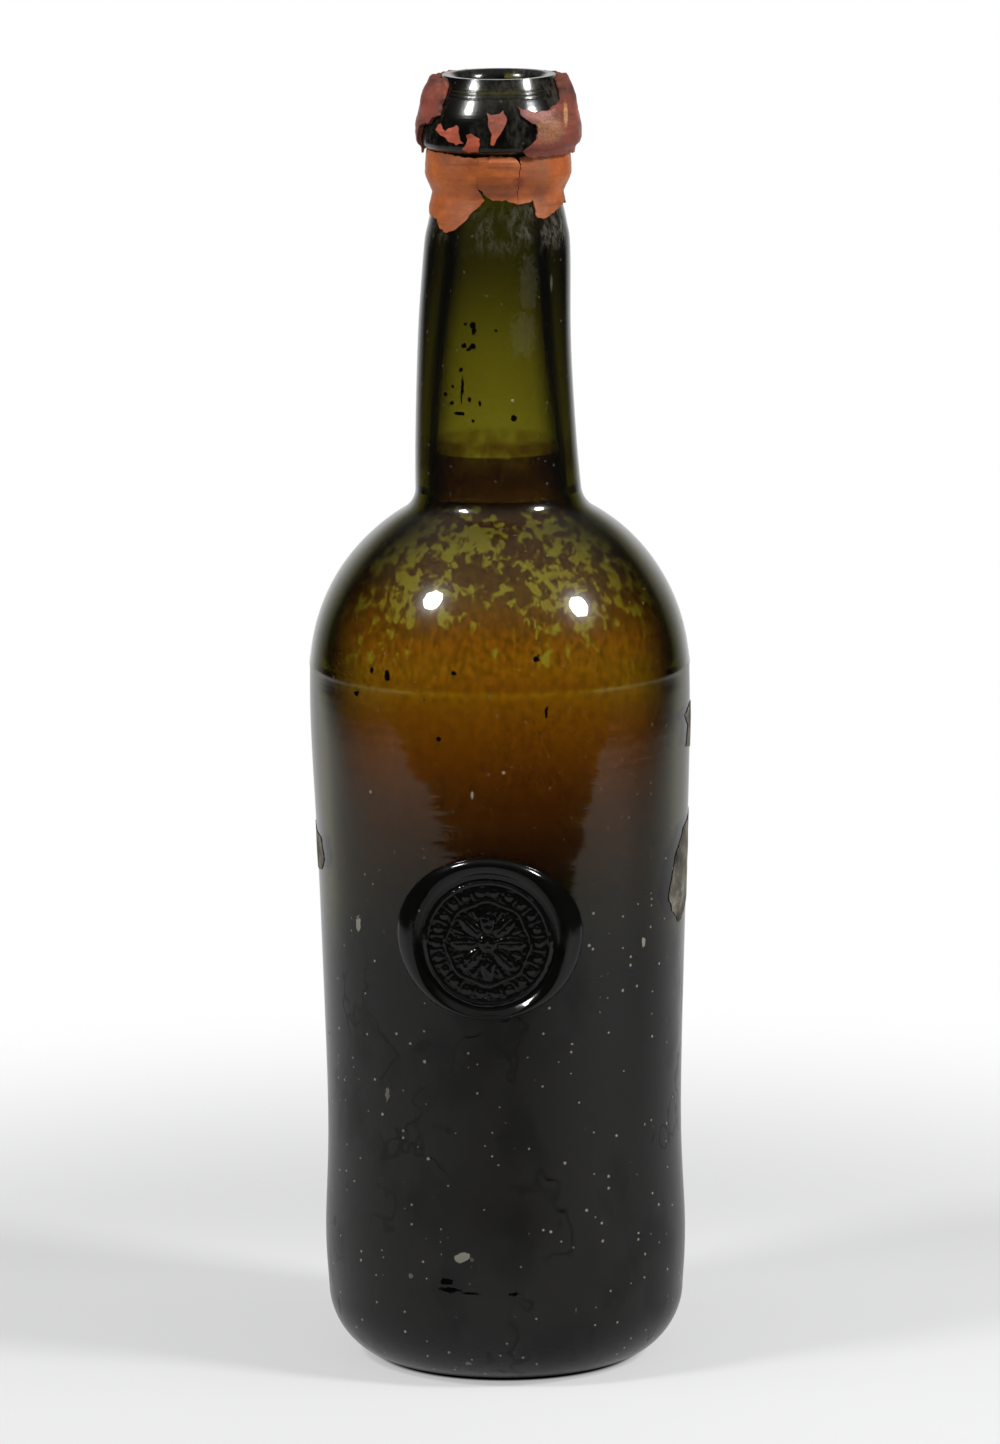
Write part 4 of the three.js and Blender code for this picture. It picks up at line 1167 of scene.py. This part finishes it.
def skirt_outer(turn, depth):
    slow = noise_round(turn, 2.1, depth * 0.12 + 3.3)
    quick = noise_round(turn, 9, depth * 0.7 + 3.3)
    round_lines = noise_round(turn, 1.2, depth * 1.5)
    thick = from_table(SKIRT_COAT, depth)
    if BREAK[0] < turn < BREAK[1]:
        thick *= min(1, max(0.2, (depth - SKIRT_TOP) / 1.6))
    return from_table(STAND_OFF, depth) + thick * (1 + 0.16 * slow + 0.08 * round_lines) + 0.05 * quick


LEFT_CRACK = -16.5
RIGHT_CRACK = 17.0
SIDE_CRACK = 100.0
HALF = 0.3  # half of a crack's width, in degrees
SKIRT = {
    "wax_skirt_left": [
        (-SIDE_CRACK + HALF, 16.4), (-80, 16.3), (-60, 16.4), (-45, 16.25), (-30, 16.9),
        (LEFT_CRACK - 0.06, 16.7), (LEFT_CRACK - 0.08, 21.5), (LEFT_CRACK - HALF, 24), (-12, 26.3),
        (-21, 28.5), (-27.5, 30.7), (-35, 32.6), (-43.7, 33.5), (-52, 32.8), (-58.5, 30.9), (-77, 30.1),
        (-88, 28.6), (-SIDE_CRACK + HALF, 29.2),
    ],
    "wax_skirt_front": [
        (LEFT_CRACK + 0.06, 16.7), (-6, 16.3), (9, 16.5), (14, 16.9), (RIGHT_CRACK - HALF, 17.8),
        (RIGHT_CRACK - HALF, 27.1), (7, 26), (-4.5, 26.2), (-10.5, 25.2), (LEFT_CRACK + HALF, 23.7),
        (LEFT_CRACK + 0.08, 21.5),
    ],
    "wax_skirt_right": [
        (RIGHT_CRACK + HALF, 16.8), (24, 16.4), (31, 16.35), (50, 16.4), (80, 16.35),
        (SIDE_CRACK - HALF, 16.4), (SIDE_CRACK - HALF, 28.8), (88, 27.6), (69, 28.3), (52, 29.6),
        (40, 30.5), (34.8, 30.2), (31.8, 26.2), (27, 26.8), (RIGHT_CRACK + HALF, 27.1),
    ],
    "wax_skirt_back": [
        (SIDE_CRACK + HALF, 16.4), (130, 16.5), (180, 16.3), (230, 16.6), (360 - SIDE_CRACK - HALF, 16.4),
        (360 - SIDE_CRACK - HALF, 29.4), (236, 28.2), (214, 30.8), (196, 28.9), (177, 28), (158, 31.4),
        (139, 29), (121, 27.8), (SIDE_CRACK + HALF, 28.6),
    ],
}
for name, outline in SKIRT.items():
    made = shard(outline, skirt_bed, skirt_inner, skirt_outer)
    for face in made.faces:
        middle = face.calc_center_median()
        turn = degrees(np.arctan2(middle.x, -middle.y))
        if BREAK[0] < turn < BREAK[1] and HEIGHT - middle.z < SKIRT_TOP + 1.5:
            face.material_index = 1
    piece(made, name + "_shard", "wax_skirt", [skirt_wax, broken_wax], name, sharp=60)

# %% [markdown]
# ### The coat on the collar
# What is left of the coat on the collar follows the collar's own outline. The small flakes on the
# front are thinner than the big remains at the sides.

# %% Collar shards
COLLAR_WAX = {
    "wax_collar_left": [
        (-61, 0.5), (-55, 1.5), (-52.4, 4.1), (-50, 7.8), (-58.8, 9.6), (-73.5, 10.6), (-79, 13),
        (-84, 16.8), (-150, 16.8), (-180, 12), (-183, 7), (-186, 0.5),
    ],
    "wax_collar_right": [
        (72, 0.5), (68, 3.6), (62, 5), (41, 6.7), (29.4, 7), (15.3, 5.5), (16.9, 7.4), (29.1, 9.9),
        (29, 12.7), (18.4, 15.3), (22, 16.5), (30, 16.8), (150, 16.8), (152, 12), (157, 6), (159, 0.5),
    ],
    "wax_flake_left": [
        (-53, 11), (-48, 9.6), (-42.6, 11.2), (-39.6, 10.4), (-32.5, 9.6), (-29.6, 12.1), (-26, 13.6),
        (-32, 14), (-40.8, 12.8), (-47.3, 12.1),
    ],
    "wax_flake_middle": [
        (-24.2, 11.7), (-20.8, 11.3), (-13.6, 12.4), (-14.7, 15.4), (-23, 15.8), (-27.7, 14.9),
        (-24.6, 13.9),
    ],
    "wax_flake_right": [
        (-9.4, 6.8), (-2.6, 7.2), (3.7, 6.3), (6.3, 8.3), (2.9, 10.6), (-3.5, 13.9), (-5.8, 13.7),
        (-4.7, 11.5), (-7.9, 9.2),
    ],
}
collar_bed = partial(radius_at, [(NECK_TOP_R + 1.3, down(COLLAR_HEIGHT + 0.2))] + collar_side)


def coat_bed(height):
    """The coat's bed: the collar, and below its rounded edge a straight fall to the skirt."""
    bed = collar_bed(height)
    return max(bed, RING_R + 1.2) if height < down(14) else bed


def collar_coat(turn, depth):
    """The coat is thick under the lip at the sides and feathers out towards the front."""
    lump = noise_round(turn, 2.6, depth * 0.22)
    quick = noise_round(turn, 10, depth * 0.9)
    thick = 0.25 + 0.65 * smooth(abs(turn), 22, 58)
    thick = min(thick, 0.3 + 0.6 * smooth(depth, 16.8, 14.2))
    built_up = 1.4 * smooth(abs(turn), 55, 80) * smooth(depth, 9, 2.5)
    return CLEAR + thick + built_up + 0.35 * lump * thick + 0.16 * quick


def flake_coat(turn, depth):
    return 0.27 + 0.14 * noise_round(turn, 14, depth * 1.1)


KINDS = {
    "collar": (coat_bed, 0.1, collar_coat, SHARD_PITCH, collar_wax),
    "flake": (collar_bed, 0.05, flake_coat, 0.35, flake_wax),
}
for seed, (name, outline) in enumerate(COLLAR_WAX.items()):
    bed, inner, outer, pitch, finish = KINDS[name.split("_")[1]]
    made = shard(outline, bed, inner, outer, pitch=pitch, edge_depth=0.6, seed=seed + 9.5)
    piece(made, name + "_shard", "wax_collar", [finish, collar_edge], name, sharp=60)

# %% [markdown]
# ## Scraps of the paper label
# A label once covered the back. Only brittle scraps of it are left near both edges, without any
# print. They are made as the wax shards are, but thin, on the body's side.

# %% Paper scraps
paper_finish = material("old_paper")
where = on_object()
fibres = clouds(where, (700, 700, 1400), 6.0, 0.7)
stains = clouds(where, (120, 120, 150), 5.0, 0.65, move=(1, 2, 3))
colour = ramp(stains, [(0.3, rgb(44, 41, 36)), (0.48, rgb(92, 87, 77)), (0.66, rgb(140, 136, 124))])
colour = blend(0.5, colour, ramp(fibres, [(0.3, (0.5, 0.48, 0.45)), (0.65, 1)]), "MULTIPLY")
relief = bumped(0.6, 0.0002, fibres)
show(add("BsdfPrincipled", {"Base Color": colour, "Roughness": 0.85, "Normal": relief}))

torn_finish = material("torn_paper_edge")
where = on_object()
frayed = clouds(where, (900, 900, 900), 3.0)
colour = ramp(frayed, [(0.35, rgb(66, 61, 53)), (0.65, rgb(128, 122, 110))])
show(add("BsdfPrincipled", {"Base Color": colour, "Roughness": 0.9}))

SCRAPS = {
    "label_scrap_upper": [
        (75, 146.5), (80, 143.2), (77, 139), (88, 138), (97, 141), (99, 147), (84, 148),
    ],
    "label_scrap_lower": [
        (76, 121), (68, 115.5), (63.5, 107), (66, 103.5), (73, 100), (84, 103), (96, 106), (101, 116),
        (92, 123.5),
    ],
    "label_scrap_left": [
        (-76, 119), (-73.5, 114.5), (-77, 112), (-86, 111), (-95, 113.5), (-92, 121),
    ],
}


def curled(turn, depth):
    return 0.16 + 0.06 * noise_round(turn, 12, depth * 0.3)


for seed, (name, outline) in enumerate(SCRAPS.items()):
    outline = [(turn, HEIGHT - height) for turn, height in outline]
    made = shard(
        outline, partial(radius_at, outside), 0.06, curled,
        radius=BODY_R, pitch=0.8, edge_step=0.9, edge_depth=0.5, seed=seed + 20.5,
    )
    piece(made, name + "_paper", "old_paper", [paper_finish, torn_finish], name, sharp=60)
